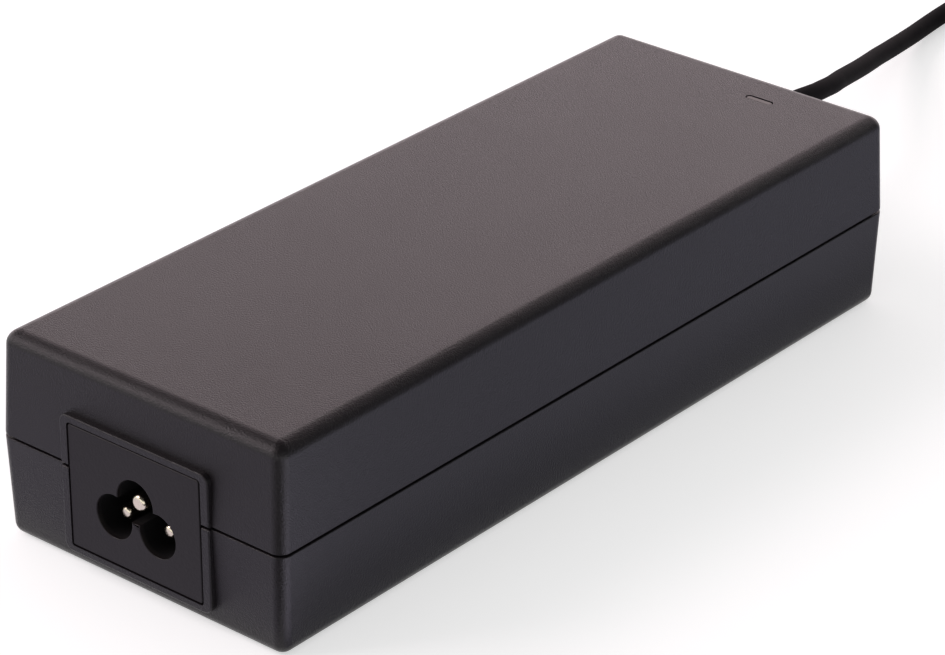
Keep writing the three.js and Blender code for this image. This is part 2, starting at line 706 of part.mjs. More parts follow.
// Transformer: ferrite halves round a bobbin with its taped winding.
const MAIN_CORE = { halfLength: 17, halfDepth: 8, height: 23, leg: 4 };
const MAIN_X = 4;
const MAIN_Y = 34;
const BOBBIN_WALL = 0.8;
const BOBBIN_HALF = MAIN_CORE.halfLength - MAIN_CORE.leg - FIT_GAP;
piece('transformer_core_left', coreHalf(MAIN_X, MAIN_Y, MAIN_CORE, -1), FERRITE);
piece('transformer_core_right', coreHalf(MAIN_X, MAIN_Y, MAIN_CORE, 1), FERRITE);

function bobbin() {
  const flange = (side) => (
    sleeve(MAIN_X + side * (BOBBIN_HALF - 0.5), MAIN_Y, MAIN_CORE, 0.5, FIT_GAP, 3.1)
  );
  return join(
    sleeve(MAIN_X, MAIN_Y, MAIN_CORE, BOBBIN_HALF, FIT_GAP, FIT_GAP + BOBBIN_WALL),
    flange(-1),
    flange(1),
  );
}

piece('transformer_bobbin', bobbin(), WHITE_NYLON);
piece('transformer_winding', sleeve(
  MAIN_X, MAIN_Y, MAIN_CORE, BOBBIN_HALF - 1.3, FIT_GAP + BOBBIN_WALL + FIT_GAP, 3,
), YELLOW_TAPE);

// Output side.
piece('secondary_heat_sink', heatSink(SINK_X, [38, 63], 32), ALUMINIUM);
piece('output_rectifier', powerDevice(DEVICE_X, 50), BLACK_EPOXY);
[-12, -2.5, 7].forEach((x, place) => {
  piece(`output_capacitor_${place + 1}`, canCapacitor(4, 16, 'z', [x, 57, SEAT_Z]), CAN_SLEEVE);
});
piece('output_choke', turned([
  [0, 0], [6, 0], [6, 2], [4.6, 2.6], [4.6, 8.4], [6, 9], [6, 11], [0, 11],
], 'z', [18.5, 56, SEAT_Z]), FERRITE);
piece('optocoupler', join(
  block([3.5, 8.1], [66, 72.5], [SEAT_Z + 0.8, SEAT_Z + 4.2]),
  ...legs([[4, 67.5], [4, 71], [7.6, 67.5], [7.6, 71]], SEAT_Z + 2),
), BLACK_EPOXY);
piece('controller_chip', join(
  block([19.6, 24.6], [16.8, 24.8], [SEAT_Z + 0.4, SEAT_Z + 2.1]),
  ...[17.8, 19.8, 21.8, 23.8].flatMap((y) => legs([[19.4, y], [24.8, y]], SEAT_Z + 1.2)),
), BLACK_EPOXY);

/** Status LED on long legs, its dome close under the light guide. */
function statusLed() {
  const lensBottom = CASE_HEIGHT - WALL - FIT_GAP - 1.2;
  const top = lensBottom - FIT_GAP;
  return join(
    turned([
      [0, top - 5], [1.9, top - 5], [1.9, top - 4], [1.5, top - 4], [1.5, top - 1.5],
      [1.1, top - 0.5], [0, top],
    ], 'z', [LENS_X, LENS_Y, 0], 16),
    ...legs([[LENS_X - 0.8, LENS_Y], [LENS_X + 0.8, LENS_Y]], top - 4.5),
  );
}

piece('status_led', statusLed(), GREEN_LED);

// ---------------------------------------------------------------- output lead

const GLAND_FLANGE_Y = BACK_INNER_Y - UPPER.draftY - FIT_GAP;
const GLAND_INNER_Y = GLAND_FLANGE_Y - 2.2;

/** Moulded strain relief: inner flange, neck through the end wall, ribbed tapering boot. */
function strainRelief() {
  const rootY = BACK_Y + FIT_GAP;
  const neck = GLAND_HOLE_RADIUS - FIT_GAP;
  const profile = [
    [0, GLAND_INNER_Y], [5.6, GLAND_INNER_Y], [5.6, GLAND_FLANGE_Y], [neck, GLAND_FLANGE_Y],
    [neck, rootY], [BOOT_ROOT_RADIUS + 0.5, rootY], [BOOT_ROOT_RADIUS + 0.5, rootY + 1.6],
  ];
  const ribsFrom = rootY + 3.2;
  const pitch = (BOOT_TIP_Y - ribsFrom - 1.6) / BOOT_RIBS;
  const radiusAt = (y) => THREE.MathUtils.lerp(
    BOOT_ROOT_RADIUS, BOOT_TIP_RADIUS, (y - rootY) / (BOOT_TIP_Y - rootY),
  );
  for (let rib = 0; rib < BOOT_RIBS; rib += 1) {
    const y = ribsFrom + rib * pitch;
    const radius = radiusAt(y);
    profile.push([radius - 0.8, y - pitch * 0.25], [radius - 0.8, y]);
    profile.push([radius, y + pitch * 0.1], [radius, y + pitch * 0.6]);
  }
  profile.push([BOOT_TIP_RADIUS, BOOT_TIP_Y], [0, BOOT_TIP_Y]);
  return turned(profile, 'y', [CORD_EXIT_X, 0, SEAM_Z], 20);
}

piece('strain_relief', strainRelief(), CORD_RUBBER);

/** Inner conductor from the gland down to the board. */
function outputWire(side) {
  const x = CORD_EXIT_X + side * 1.4;
  return tube([
    [x, GLAND_INNER_Y - FIT_GAP, SEAM_Z],
    [x, GLAND_INNER_Y - 1.8, SEAM_Z],
    [x + side * 0.6, GLAND_INNER_Y - 4.4, SEAM_Z - 3],
    [x + side, GLAND_INNER_Y - 5, SEAM_Z - 6.5],
    [x + side, GLAND_INNER_Y - 5, SEAT_Z],
  ], 0.9, 8, 6);
}

piece('output_wire_positive', outputWire(1), RED_WIRE);
piece('output_wire_negative', outputWire(-1), BLACK_WIRE);

const CORD_RADIUS = CORD_DIAMETER / 2;
piece('cord_lead', tube(LEAD_ROUTE, CORD_RADIUS, 22, CORD_SIDES), CORD_RUBBER);

// ---------------------------------------------------------------- coil

const COIL_TURNS = COIL_LAYER_TURNS * 2 + 0.5;
const coilLift = (y) => COIL_LIFT * (0.5 - (y - COIL_Y) / (2 * COIL_OUTER_RADIUS));

/** Centre of the cord after a number of turns: in on the lower layer, up, and out on the upper. */
function coilPoint(turn) {
  const climb = THREE.MathUtils.clamp((turn - COIL_LAYER_TURNS) * 2, 0, 1);
  const outward = Math.max(turn - COIL_LAYER_TURNS - 0.5, 0);
  const inward = Math.min(turn, COIL_LAYER_TURNS);
  const dip = COIL_CLIMB_DIP * Math.sin(climb * Math.PI);
  const radius = COIL_OUTER_RADIUS - COIL_PITCH * (inward - outward) - dip;
  const angle = Math.PI - turn * Math.PI * 2;
  const x = COIL_X + radius * Math.cos(angle);
  const y = COIL_Y + radius * Math.sin(angle);
  const rise = COIL_PITCH * climb * climb * (3 - 2 * climb);
  return new THREE.Vector3(x, y, CORD_RADIUS + coilLift(y) + rise);
}

/** Whole centre line of the coil, with a straight end before and after the turns. */
function coilPath() {
  const path = [];
  const steps = COIL_TURNS * COIL_STEPS_PER_TURN;
  for (let step = 0; step <= steps; step += 1) path.push(coilPoint(step / COIL_STEPS_PER_TURN));
  const first = path[0];
  const last = path[path.length - 1];
  const straight = new THREE.Vector3(0, -CORD_DIAMETER, 0);
  return [first.clone().add(straight), ...path, last.clone().add(straight)];
}

/** Six-sided tube with level faces above and below, one unbroken body. */
function coilTube(path) {
  const up = new THREE.Vector3(0, 0, 1);
  const rings = path.map((point, i) => {
    const before = path[Math.max(i - 1, 0)];
    const after = path[Math.min(i + 1, path.length - 1)];
    const along = after.clone().sub(before).normalize();
    const across = along.clone().cross(up).normalize();
    const over = across.clone().cross(along);
    return Array.from({ length: COIL_SIDES }, (_, side) => {
      const angle = (side / COIL_SIDES) * Math.PI * 2;
      return point.clone()
        .addScaledVector(across, CORD_RADIUS * Math.cos(angle))
        .addScaledVector(over, CORD_RADIUS * Math.sin(angle))
        .toArray();
    });
  });
  return skin(rings);
}

/** Least distance between the surfaces of turns that pass one another. */
function leastCoilGap() {
  const samples = [];
  const perTurn = 72;
  for (let i = 0; i <= COIL_TURNS * perTurn; i += 1) samples.push(coilPoint(i / perTurn));
  let least = Infinity;
  for (let i = 0; i < samples.length; i += 1) {
    for (let j = i + perTurn / 3; j < samples.length; j += 1) {
      least = Math.min(least, samples[i].distanceTo(samples[j]));
    }
  }
  return least - CORD_DIAMETER;
}

piece('cord_coil', coilTube(coilPath()), CORD_RUBBER);
console.log(`cord coil: least gap to itself ${leastCoilGap().toFixed(2)} mm`);

/** Cable tie: a strap round the turns, its locking head on top and the cut end beside it. */
function cableTie() {
  const nearest = COIL_INNER_RADIUS + COIL_PITCH * 0.25 - CORD_RADIUS - 0.5;
  const farthest = COIL_OUTER_RADIUS - COIL_PITCH * 0.75 + CORD_RADIUS + 0.5;
  const ys = [COIL_Y - farthest - TIE_THICKNESS, COIL_Y - nearest + TIE_THICKNESS];
  const top = CORD_DIAMETER + COIL_PITCH + coilLift(ys[0]) + 0.4;
  const xs = [COIL_X - TIE_WIDTH / 2, COIL_X + TIE_WIDTH / 2];
  const band = cut(
    block(xs, ys, [0, top + TIE_THICKNESS]),
    block([xs[0] - 1, xs[1] + 1], [ys[0] + TIE_THICKNESS, ys[1] - TIE_THICKNESS],
      [TIE_THICKNESS, top]),
  );
  const headY = (ys[0] + ys[1]) / 2;
  const head = block(
    [COIL_X - TIE_HEAD.width / 2, COIL_X + TIE_HEAD.width / 2],
    [headY, headY + TIE_HEAD.height], [top + 0.1, top + TIE_HEAD.depth],
  );
  const cutEnd = block(xs, [headY - 4, headY + 1], [top + 2, top + 2 + TIE_THICKNESS]);
  return join(band, head, cutEnd);
}

piece('cable_tie', cableTie(), TIE_NYLON);

// ---------------------------------------------------------------- tail and plug

const coilEnd = coilPath().at(-1);
const TAIL_Y = coilEnd.y - FIT_GAP;
const PLUG_X = coilEnd.x;
const PLUG_Z = GRIP_RADIUS;
const PLUG_BACK_Y = TAIL_Y - TAIL_LENGTH - FIT_GAP;

piece('cord_tail', tube([
  [PLUG_X, TAIL_Y, coilEnd.z],
  [PLUG_X, TAIL_Y - 4, coilEnd.z],
  [PLUG_X, TAIL_Y - TAIL_LENGTH / 2, (coilEnd.z + PLUG_Z) / 2],
  [PLUG_X, TAIL_Y - TAIL_LENGTH + 4, PLUG_Z],
  [PLUG_X, TAIL_Y - TAIL_LENGTH, PLUG_Z],
], CORD_RADIUS, 5, CORD_SIDES), CORD_RUBBER);

/** Turned piece of the plug: distances run from its back end towards the tip, along -Y. */
const plugPiece = (profile, segments = 20) => turned(
  profile.map(([radius, distance]) => [radius, -distance]), 'y', [PLUG_X, PLUG_BACK_Y, PLUG_Z],
  segments,
);

/** Moulded grip with its flexible boot, waisted where the fingers hold it. */
function plugGrip() {
  const end = PLUG_BOOT_LENGTH + GRIP_LENGTH;
  const profile = [[0, 0], [PLUG_BOOT_TIP_RADIUS, 0]];
  const ribs = 4;
  const pitch = (PLUG_BOOT_LENGTH - 2) / ribs;
  for (let rib = 0; rib < ribs; rib += 1) {
    const at = 1.4 + rib * pitch;
    const radius = THREE.MathUtils.lerp(PLUG_BOOT_TIP_RADIUS, 3.9, rib / ribs);
    profile.push([radius, at], [radius - 0.6, at + 0.3], [radius - 0.6, at + 1]);
    profile.push([radius + 0.2, at + 1.4]);
  }
  profile.push(
    [4.4, PLUG_BOOT_LENGTH], [GRIP_RADIUS, PLUG_BOOT_LENGTH + 1.2],
    [GRIP_RADIUS, PLUG_BOOT_LENGTH + 5], [4.8, PLUG_BOOT_LENGTH + 9],
    [4.8, PLUG_BOOT_LENGTH + 14], [GRIP_RADIUS, end - 4], [GRIP_RADIUS, end - 0.8],
    [GRIP_RADIUS - 0.8, end], [0, end],
  );
  return plugPiece(profile);
}

piece('plug_grip', plugGrip(), CORD_RUBBER);

const SLEEVE_START = PLUG_BOOT_LENGTH + GRIP_LENGTH + FIT_GAP;
const SLEEVE_END = SLEEVE_START + SLEEVE_LENGTH;
const SLEEVE_INNER = SLEEVE_RADIUS - SLEEVE_WALL;
piece('plug_sleeve', plugPiece([
  [SLEEVE_INNER, SLEEVE_START], [SLEEVE_RADIUS, SLEEVE_START], [SLEEVE_RADIUS, SLEEVE_END],
  [SLEEVE_INNER, SLEEVE_END], [SLEEVE_INNER, SLEEVE_START],
]), CONTACT_METAL);

const LINER_RADIUS = SLEEVE_INNER - FIT_GAP;
piece('plug_insulator', plugPiece([
  [0, SLEEVE_START], [LINER_RADIUS, SLEEVE_START], [LINER_RADIUS, SLEEVE_END - 0.4],
  [PLUG_BORE_RADIUS + 0.5, SLEEVE_END - 0.4], [PLUG_BORE_RADIUS + 0.5, SLEEVE_START + 0.8],
  [0, SLEEVE_START + 0.8],
]), BLACK_EPOXY);
piece('plug_contact', plugPiece([
  [PLUG_BORE_RADIUS - 0.1, SLEEVE_START + 1.1], [PLUG_BORE_RADIUS + 0.2, SLEEVE_START + 1.1],
  [PLUG_BORE_RADIUS + 0.2, SLEEVE_END - 1.5], [PLUG_BORE_RADIUS - 0.1, SLEEVE_END - 1.5],
  [PLUG_BORE_RADIUS - 0.1, SLEEVE_START + 1.1],
], 16), CONTACT_METAL);

export default adapter;
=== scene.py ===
"""Laptop power adapter, its looks: a moulded two-part case with a three-pin mains inlet, and a
low-voltage lead that is wound into a coil and ends in a barrel plug.

Lengths are written in millimetres and turned to metres by MM. The case lies along Y, with its
inlet at the -Y end.
"""

import math

import bmesh
import bpy
from mathutils import Matrix, Vector


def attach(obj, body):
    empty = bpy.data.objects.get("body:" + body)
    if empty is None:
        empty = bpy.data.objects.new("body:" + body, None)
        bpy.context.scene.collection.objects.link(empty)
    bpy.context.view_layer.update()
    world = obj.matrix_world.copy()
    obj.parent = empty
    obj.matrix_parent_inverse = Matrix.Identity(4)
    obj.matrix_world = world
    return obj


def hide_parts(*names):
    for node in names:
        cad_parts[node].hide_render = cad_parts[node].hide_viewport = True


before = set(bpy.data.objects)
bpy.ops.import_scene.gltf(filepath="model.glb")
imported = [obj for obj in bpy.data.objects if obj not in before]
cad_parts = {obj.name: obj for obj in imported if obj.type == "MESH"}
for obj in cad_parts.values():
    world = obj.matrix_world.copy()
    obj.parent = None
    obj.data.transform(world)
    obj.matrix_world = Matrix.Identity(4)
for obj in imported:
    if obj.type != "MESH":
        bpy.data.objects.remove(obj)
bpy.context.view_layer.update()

MM = 0.001
X, Y, Z = 0, 1, 2

# ------------------------------------------------------------------ camera

CAMERA_AIM = Vector((2.88, -1.68, 18.58))
CAMERA_DISTANCE = 690
CAMERA_AZIMUTH = math.radians(39.9714)
CAMERA_ELEVATION = math.radians(27.6165)
CAMERA_ROLL = math.radians(0.142)
CAMERA_SENSOR = 36
CAMERA_LENS = 146.16

camera_back = Vector((
    math.sin(CAMERA_AZIMUTH) * math.cos(CAMERA_ELEVATION),
    -math.cos(CAMERA_AZIMUTH) * math.cos(CAMERA_ELEVATION),
    math.sin(CAMERA_ELEVATION),
))
bpy.ops.object.camera_add()
camera = bpy.context.object
camera.name = "camera"
camera.location = (CAMERA_AIM + camera_back * CAMERA_DISTANCE) * MM
camera.rotation_euler = (
    Matrix.Rotation(CAMERA_AZIMUTH, 3, "Z")
    @ Matrix.Rotation(math.pi / 2 - CAMERA_ELEVATION, 3, "X")
    @ Matrix.Rotation(CAMERA_ROLL, 3, "Z")
).to_euler()
camera.data.sensor_width = CAMERA_SENSOR
camera.data.lens = CAMERA_LENS
bpy.context.scene.camera = camera
bpy.context.scene.view_settings.view_transform = "Standard"

# ------------------------------------------------------------------ dimensions of the case

FIT_GAP = 0.3

CASE_LENGTH = 170
CASE_WIDTH = 65
CASE_HEIGHT = 39
CORNER_RADIUS = 2.3
WALL = 2.4
SEAM_Z = 19.5
SEAM_GAP = 0.45
FRONT_Y = -84.65
BACK_Y = 85.35
CASE_Y = (FRONT_Y + BACK_Y) / 2
UPPER = {"side": 1, "lean_x": 0.6, "lean_y": 1.0, "edge": 2.3}
LOWER = {"side": -1, "lean_x": 0.6, "lean_y": 0.6, "edge": 2.1}
EDGE_SEGMENTS = 8
BROAD_EDGE = 0.7
LIP_RADIUS = 0.2
TONGUE_INSET = 1.3
TONGUE_THICKNESS = 0.9
TONGUE_TOP = 21.3
REBATE_INSET = 1.0
REBATE_STEP = 1.2
REBATE_TOP = 21.6
GLAND_RADIUS = 4.2
GLAND_REACH = 3

LENS = Vector((9.5, 75.05))
LENS_LENGTH = 5.7
LENS_WIDTH = 1.2
LENS_GAP = 0.22
LENS_TOP = CASE_HEIGHT - 0.1
LENS_BOTTOM = CASE_HEIGHT - WALL - 1.3
LENS_EDGE = 0.12

# ------------------------------------------------------------------ dimensions of the inlet

FRAME_Y = -85.35
FRAME_HALF_WIDTH = 17.05
FRAME_BOTTOM = 3.0
FRAME_TOP = 29.4
FRAME_CORNER = 1.7
FRAME_EDGE = 0.3

INSERT_Y = FRAME_Y + 0.15
INSERT_HALF_WIDTH = 15.1
INSERT_BOTTOM = 4.5
INSERT_TOP = 27.9
INSERT_CORNER = 0.4
INSERT_EDGE = 0.25
INSERT_GAP = 0.25
INSERT_X = -0.17
INSERT_SAG = 0.12
INLET_FLANGE_Y = -81.41
INLET_BACK_Y = -65.2
INLET_FLANGE = ((-17, INLET_FLANGE_Y, 3), (17, INLET_FLANGE_Y + 2, 30))
INLET_REAR = ((-13, INLET_FLANGE_Y + 0.5, 6.5), (13, INLET_BACK_Y, 26))

LOBE_RADIUS = 4.1
RECESS_DEPTH = 13
RECESS_EDGE = 0.2
RECESS_HALF_WIDTH = 10
RECESS_BOTTOM = 9
RECESS_TOP = 23

PIN_TIP_ROUNDING = 0.8
PIN_END_Y = -60.2
PIN_SET = Vector((-0.2, 0, -0.6))
PINS = {
    "inlet_pin_line": {"x": -5, "z": 13.6, "tip": 2.7, "radius": 1.25},
    "inlet_pin_neutral": {"x": 5, "z": 13.6, "tip": 2.7, "radius": 1.25},
    "inlet_pin_earth": {"x": 0, "z": 18.1, "tip": 0.8, "radius": 1.55},
}

# ------------------------------------------------------------------ dimensions of the lead

# Strain relief: a flange inside the wall, a neck through it, a collar, and a ribbed taper.
RELIEF_FLANGE_Y = BACK_Y - WALL - 1.3
RELIEF_FLANGE_THICKNESS = 2.2
RELIEF_FLANGE_RADIUS = 5.6
RELIEF_NECK_RADIUS = 3.9
RELIEF_COLLAR_RADIUS = 5.3
RELIEF_COLLAR_LENGTH = 1.6
RELIEF_ROOT_Y = BACK_Y + FIT_GAP
RELIEF_ROOT_RADIUS = 4.8
RELIEF_TIP_Y = 108.35
RELIEF_TIP_RADIUS = 2.9
RELIEF_EDGE = 0.22
RELIEF_RIBS = 6
RELIEF_RIBS_FROM = RELIEF_ROOT_Y + 3.2
RELIEF_RIBS_TO = RELIEF_TIP_Y - 1.6
# One rib, as (distance along in rib pitches, depth below the taper).
RELIEF_RIB = [(-0.25, 0.8), (0, 0.8), (0.1, 0), (0.6, 0)]

CORD_RADIUS = 2.0
CORD_EXIT = Vector((-10.4, RELIEF_TIP_Y, SEAM_Z))

# Free stretch of the lead, from the boot's tip down to the table and on to the coil.
LEAD_ROUTE = [
    (-10.4, 108.65, 19.5), (-10.4, 112.5, 19.4), (-10.57, 116.5, 19.05), (-10.67, 120.0, 18.6),
    (-11.06, 124.0, 17.94), (-11.9, 128.0, 17.16), (-13.0, 132.5, 16.19), (-14.76, 137.5, 15.02),
    (-16.61, 143.0, 13.65), (-18.63, 149.0, 12.1), (-20.66, 155.0, 10.62), (-22.83, 161.0, 9.12),
    (-24.89, 167.0, 7.73), (-26.81, 173.0, 6.33), (-28.56, 179.0, 5.13), (-30.3, 185.0, 3.95),
    (-31.74, 191.0, 3.09), (-33.1, 197.0, 2.42), (-34.05, 203.0, 2.11), (-34.5, 209.5, 2.15),
    (-34.6, 217.0, 2.4), (-34.6, 225.4, 2.65),
]

# Two layers of flat spiral, in on the lower one and out again on the upper one.
COIL_CENTRE = Vector((-3.0, 230))
COIL_OUTER_RADIUS = 31.6
COIL_PITCH = 4.7
COIL_LAYER_TURNS = 3
COIL_TURNS = 6.5
COIL_CLIMB_TURNS = 0.5
COIL_CLIMB_DIP = 1.0
COIL_LIFT = 1.3
COIL_STEPS_PER_TURN = 24

TIE_WIDTH = 4.8
TIE_THICKNESS = 0.7
TIE_SIDE_GAP = 0.5
TIE_TOP_GAP = 0.4
TIE_OUTER_BEND = 1.5
TIE_INNER_BEND = 0.8
TIE_EDGE = 0.12
TIE_HEAD_WIDTH = 6
TIE_HEAD_LENGTH = 5
TIE_HEAD_FOOT = 0.1
TIE_HEAD_TOP = 4.2
TIE_HEAD_CORNER = 0.8
TIE_END_LENGTH = 4
TIE_END_OVERLAP = 1
TIE_END_RISE = 2

TAIL_LENGTH = 30
TAIL_STRAIGHT = 4

BOOT_LENGTH = 13
BOOT_TIP_RADIUS = 2.9
BOOT_WIDENING = 1
BOOT_RIBS = 4
BOOT_RIBS_FROM = 1.4
BOOT_RIB_PITCH = 2.75
# One rib, as (distance along, change of radius).
BOOT_RIB = [(0, 0), (0.3, -0.6), (1, -0.6), (1.4, 0.2)]

GRIP_RADIUS = 5.2
GRIP_LENGTH = 22
GRIP_EDGE = 0.2
# The handle behind the boot, as (radius, distance from the boot).
GRIP_PROFILE = [
    (4.4, 0), (GRIP_RADIUS, 1.2), (GRIP_RADIUS, 5), (4.8, 9), (4.8, 14),
    (GRIP_RADIUS, GRIP_LENGTH - 4), (GRIP_RADIUS, GRIP_LENGTH - 0.8), (4.4, GRIP_LENGTH),
]

SLEEVE_RADIUS = 2.75
SLEEVE_BORE = 2.35
SLEEVE_LENGTH = 9.5
SLEEVE_EDGE = 0.12
LINER_BORE = 1.75
LINER_FLOOR = 0.8
LINER_SETBACK = 0.4
SOCKET_RADIUS = 1.45
SOCKET_BORE = 1.15
SOCKET_FROM = 1.1
SOCKET_SETBACK = 1.5
SOCKET_EDGE = 0.05

# ------------------------------------------------------------------ modelling tools

# How far a cutting tool reaches past the surface that it opens.
OVERCUT = 1


def start(name):
    """Names the primitive that was just added, and puts its place and size into its mesh."""
    bpy.ops.object.transform_apply(location=True, rotation=True, scale=True)
    piece = bpy.context.object
    piece.name = piece.data.name = name
    return piece


def block(name, low, high):
    """A cube stretched between two corners."""
    low, high = Vector(low), Vector(high)
    bpy.ops.object.select_all(action="DESELECT")
    bpy.ops.mesh.primitive_cube_add(
        size=1, location=(low + high) / 2 * MM, scale=(high - low) * MM,
    )
    return start(name)


def rod(name, radius, low, high, sides=48):
    """A cylinder along Y between two points."""
    low, high = Vector(low), Vector(high)
    bpy.ops.object.select_all(action="DESELECT")
    bpy.ops.mesh.primitive_cylinder_add(
        vertices=sides, radius=radius * MM, depth=(high - low).length * MM,
        location=(low + high) / 2 * MM, rotation=(math.pi / 2, 0, 0),
    )
    return start(name)


def pick(piece, kind, test):
    """Goes into edit mode and selects what passes the test: faces by centre and normal, edges by
    their two ends, all in millimetres."""
    if piece.mode == "OBJECT":
        bpy.ops.object.select_all(action="DESELECT")
    bpy.context.view_layer.objects.active = piece
    piece.select_set(True)
    if piece.mode != "EDIT":
        bpy.ops.object.mode_set(mode="EDIT")
    bpy.ops.mesh.select_mode(type=kind)
    bpy.ops.mesh.select_all(action="DESELECT")
    mesh = bmesh.from_edit_mesh(piece.data)
    if kind == "FACE":
        for face in mesh.faces:
            face.select_set(bool(test(face.calc_center_median() / MM, face.normal)))
    else:
        for edge in mesh.edges:
            a, b = (vertex.co / MM for vertex in edge.verts)
            edge.select_set(bool(test(a, b)))
    mesh.select_flush_mode()
    bmesh.update_edit_mesh(piece.data)


def near(value, target, slack=0.02):
    return abs(value - target) < slack


def lies_at(axis, level):
    """Test for edges that lie in a plane across an axis."""
    return lambda a, b: near(a[axis], level) and near(b[axis], level)


def runs_along(axis, least):
    """Test for edges that reach further than this along an axis."""
    return lambda a, b: abs(a[axis] - b[axis]) > least


def both(first, second):
    """Test for edges that pass two tests."""
    return lambda a, b: first(a, b) and second(a, b)


def done(piece):
    """Back to object mode."""
    if piece.mode == "EDIT":
        bpy.ops.object.mode_set(mode="OBJECT")
    return piece


def bevel(radius, segments):
    bpy.ops.mesh.bevel(offset=radius * MM, segments=segments, profile=0.5, affect="EDGES")


def inset(width):
    bpy.ops.mesh.inset(thickness=width * MM, depth=0)


def extrude_up(rise):
    bpy.ops.mesh.extrude_region_move(TRANSFORM_OT_translate={"value": (0, 0, rise * MM)})


def resize(factors, centre):
    bpy.ops.transform.resize(value=factors, center_override=Vector(centre) * MM)


def choose(piece):
    """Makes a piece the only one that an operator acts on."""
    done(piece)
    bpy.ops.object.select_all(action="DESELECT")
    bpy.context.view_layer.objects.active = piece
    piece.select_set(True)


def finish_modifier(piece, kind, **settings):
    """Adds a modifier and applies it at once."""
    choose(piece)
    modifier = piece.modifiers.new(kind.lower(), kind)
    for key, value in settings.items():
        setattr(modifier, key, value)
    bpy.ops.object.modifier_apply(modifier=modifier.name)


def combine(piece, operation, *tools):
    """Joins other solids to a piece or cuts them out of it, and removes them."""
    for tool in tools:
        done(tool)
        finish_modifier(piece, "BOOLEAN", operation=operation, solver="EXACT", object=tool)
        bpy.data.objects.remove(tool)
    return piece


def smooth(piece, angle=32):
    """Soft shading over the rounded edges, with the flat faces kept flat."""
    choose(piece)
    bpy.ops.object.shade_smooth_by_angle(angle=math.radians(angle))
    finish_modifier(piece, "WEIGHTED_NORMAL", keep_sharp=True)


def soften(piece, width, segments=3, sharper_than=30):
    """Rounds every edge that is sharper than an angle, and shades the piece softly."""
    finish_modifier(piece, "BEVEL", width=width * MM, segments=segments, limit_method="ANGLE",
                    angle_limit=math.radians(sharper_than))
    smooth(piece, 50)


def turned(name, centre, profile, sides=48):
    """A piece turned round an axis along Y: a circle, extruded and resized ring by ring along
    its profile of (radius, distance along Y from the centre)."""
    centre = Vector(centre)
    radius, at = profile[0]
    bpy.ops.object.select_all(action="DESELECT")
    bpy.ops.mesh.primitive_circle_add(
        vertices=sides, radius=radius * MM, location=(centre + Vector((0, at, 0))) * MM,
        rotation=(math.pi / 2, 0, 0),
    )
    piece = start(name)
    pick(piece, "EDGE", lambda a, b: True)
    bpy.ops.mesh.edge_face_add()
    pick(piece, "EDGE", lambda a, b: True)
    for next_radius, next_at in profile[1:]:
        bpy.ops.mesh.extrude_edges_move(
            TRANSFORM_OT_translate={"value": (0, (next_at - at) * MM, 0)}
        )
        factor = next_radius / radius
        resize((factor, 1, factor), centre + Vector((0, next_at, 0)))
        radius, at = next_radius, next_at
    bpy.ops.mesh.edge_face_add()
    bpy.ops.mesh.select_all(action="SELECT")
    bpy.ops.mesh.normals_make_consistent(inside=False)
    return done(piece)


# ------------------------------------------------------------------ cord


def coil_lift(y):
    """How far the coil stands off the table: most on its -Y side, where the tie runs under it."""
    return COIL_LIFT * (0.5 - (y - COIL_CENTRE.y) / (2 * COIL_OUTER_RADIUS))


def coil_point(turn):
    """Centre of the cord after a number of turns."""
    climb = min(max((turn - COIL_LAYER_TURNS) / COIL_CLIMB_TURNS, 0), 1)
    outward = max(turn - COIL_LAYER_TURNS - COIL_CLIMB_TURNS, 0)
    inward = min(turn, COIL_LAYER_TURNS)
    dip = COIL_CLIMB_DIP * math.sin(climb * math.pi)
    radius = COIL_OUTER_RADIUS - COIL_PITCH * (inward - outward) - dip
    angle = math.pi - turn * 2 * math.pi
    x = COIL_CENTRE.x + radius * math.cos(angle)
    y = COIL_CENTRE.y + radius * math.sin(angle)
    rise = COIL_PITCH * climb * climb * (3 - 2 * climb)
    return Vector((x, y, CORD_RADIUS + coil_lift(y) + rise))


coil_route = [
    coil_point(step / COIL_STEPS_PER_TURN)
    for step in range(int(COIL_TURNS * COIL_STEPS_PER_TURN) + 1)
]
coil_end = coil_route[-1] - Vector((0, 2 * CORD_RADIUS, 0))
plug_x = coil_end.x
plug_z = GRIP_RADIUS
tail_from = coil_end.y - FIT_GAP
tail_to = tail_from - TAIL_LENGTH
tail_route = [
    (plug_x, coil_end.y, coil_end.z),
    (plug_x, tail_from - TAIL_STRAIGHT, coil_end.z),
    (plug_x, tail_from - TAIL_LENGTH / 2, (coil_end.z + plug_z) / 2),
    (plug_x, tail_to + TAIL_STRAIGHT, plug_z),
    (plug_x, tail_to, plug_z),
]
cord_route = [Vector(p) for p in LEAD_ROUTE] + coil_route + [Vector(p) for p in tail_route]

cord_curve = bpy.data.curves.new("output_cord", "CURVE")
cord_curve.dimensions = "3D"
cord_curve.bevel_depth = CORD_RADIUS * MM
cord_curve.bevel_resolution = 6
cord_curve.resolution_u = 6
cord_curve.use_fill_caps = True
spline = cord_curve.splines.new("BEZIER")
spline.bezier_points.add(len(cord_route) - 1)
for knot, place in zip(spline.bezier_points, cord_route):
    knot.co = place * MM
    knot.handle_left_type = knot.handle_right_type = "AUTO"
output_cord = bpy.data.objects.new("output_cord", cord_curve)
bpy.context.scene.collection.objects.link(output_cord)

# ------------------------------------------------------------------ case


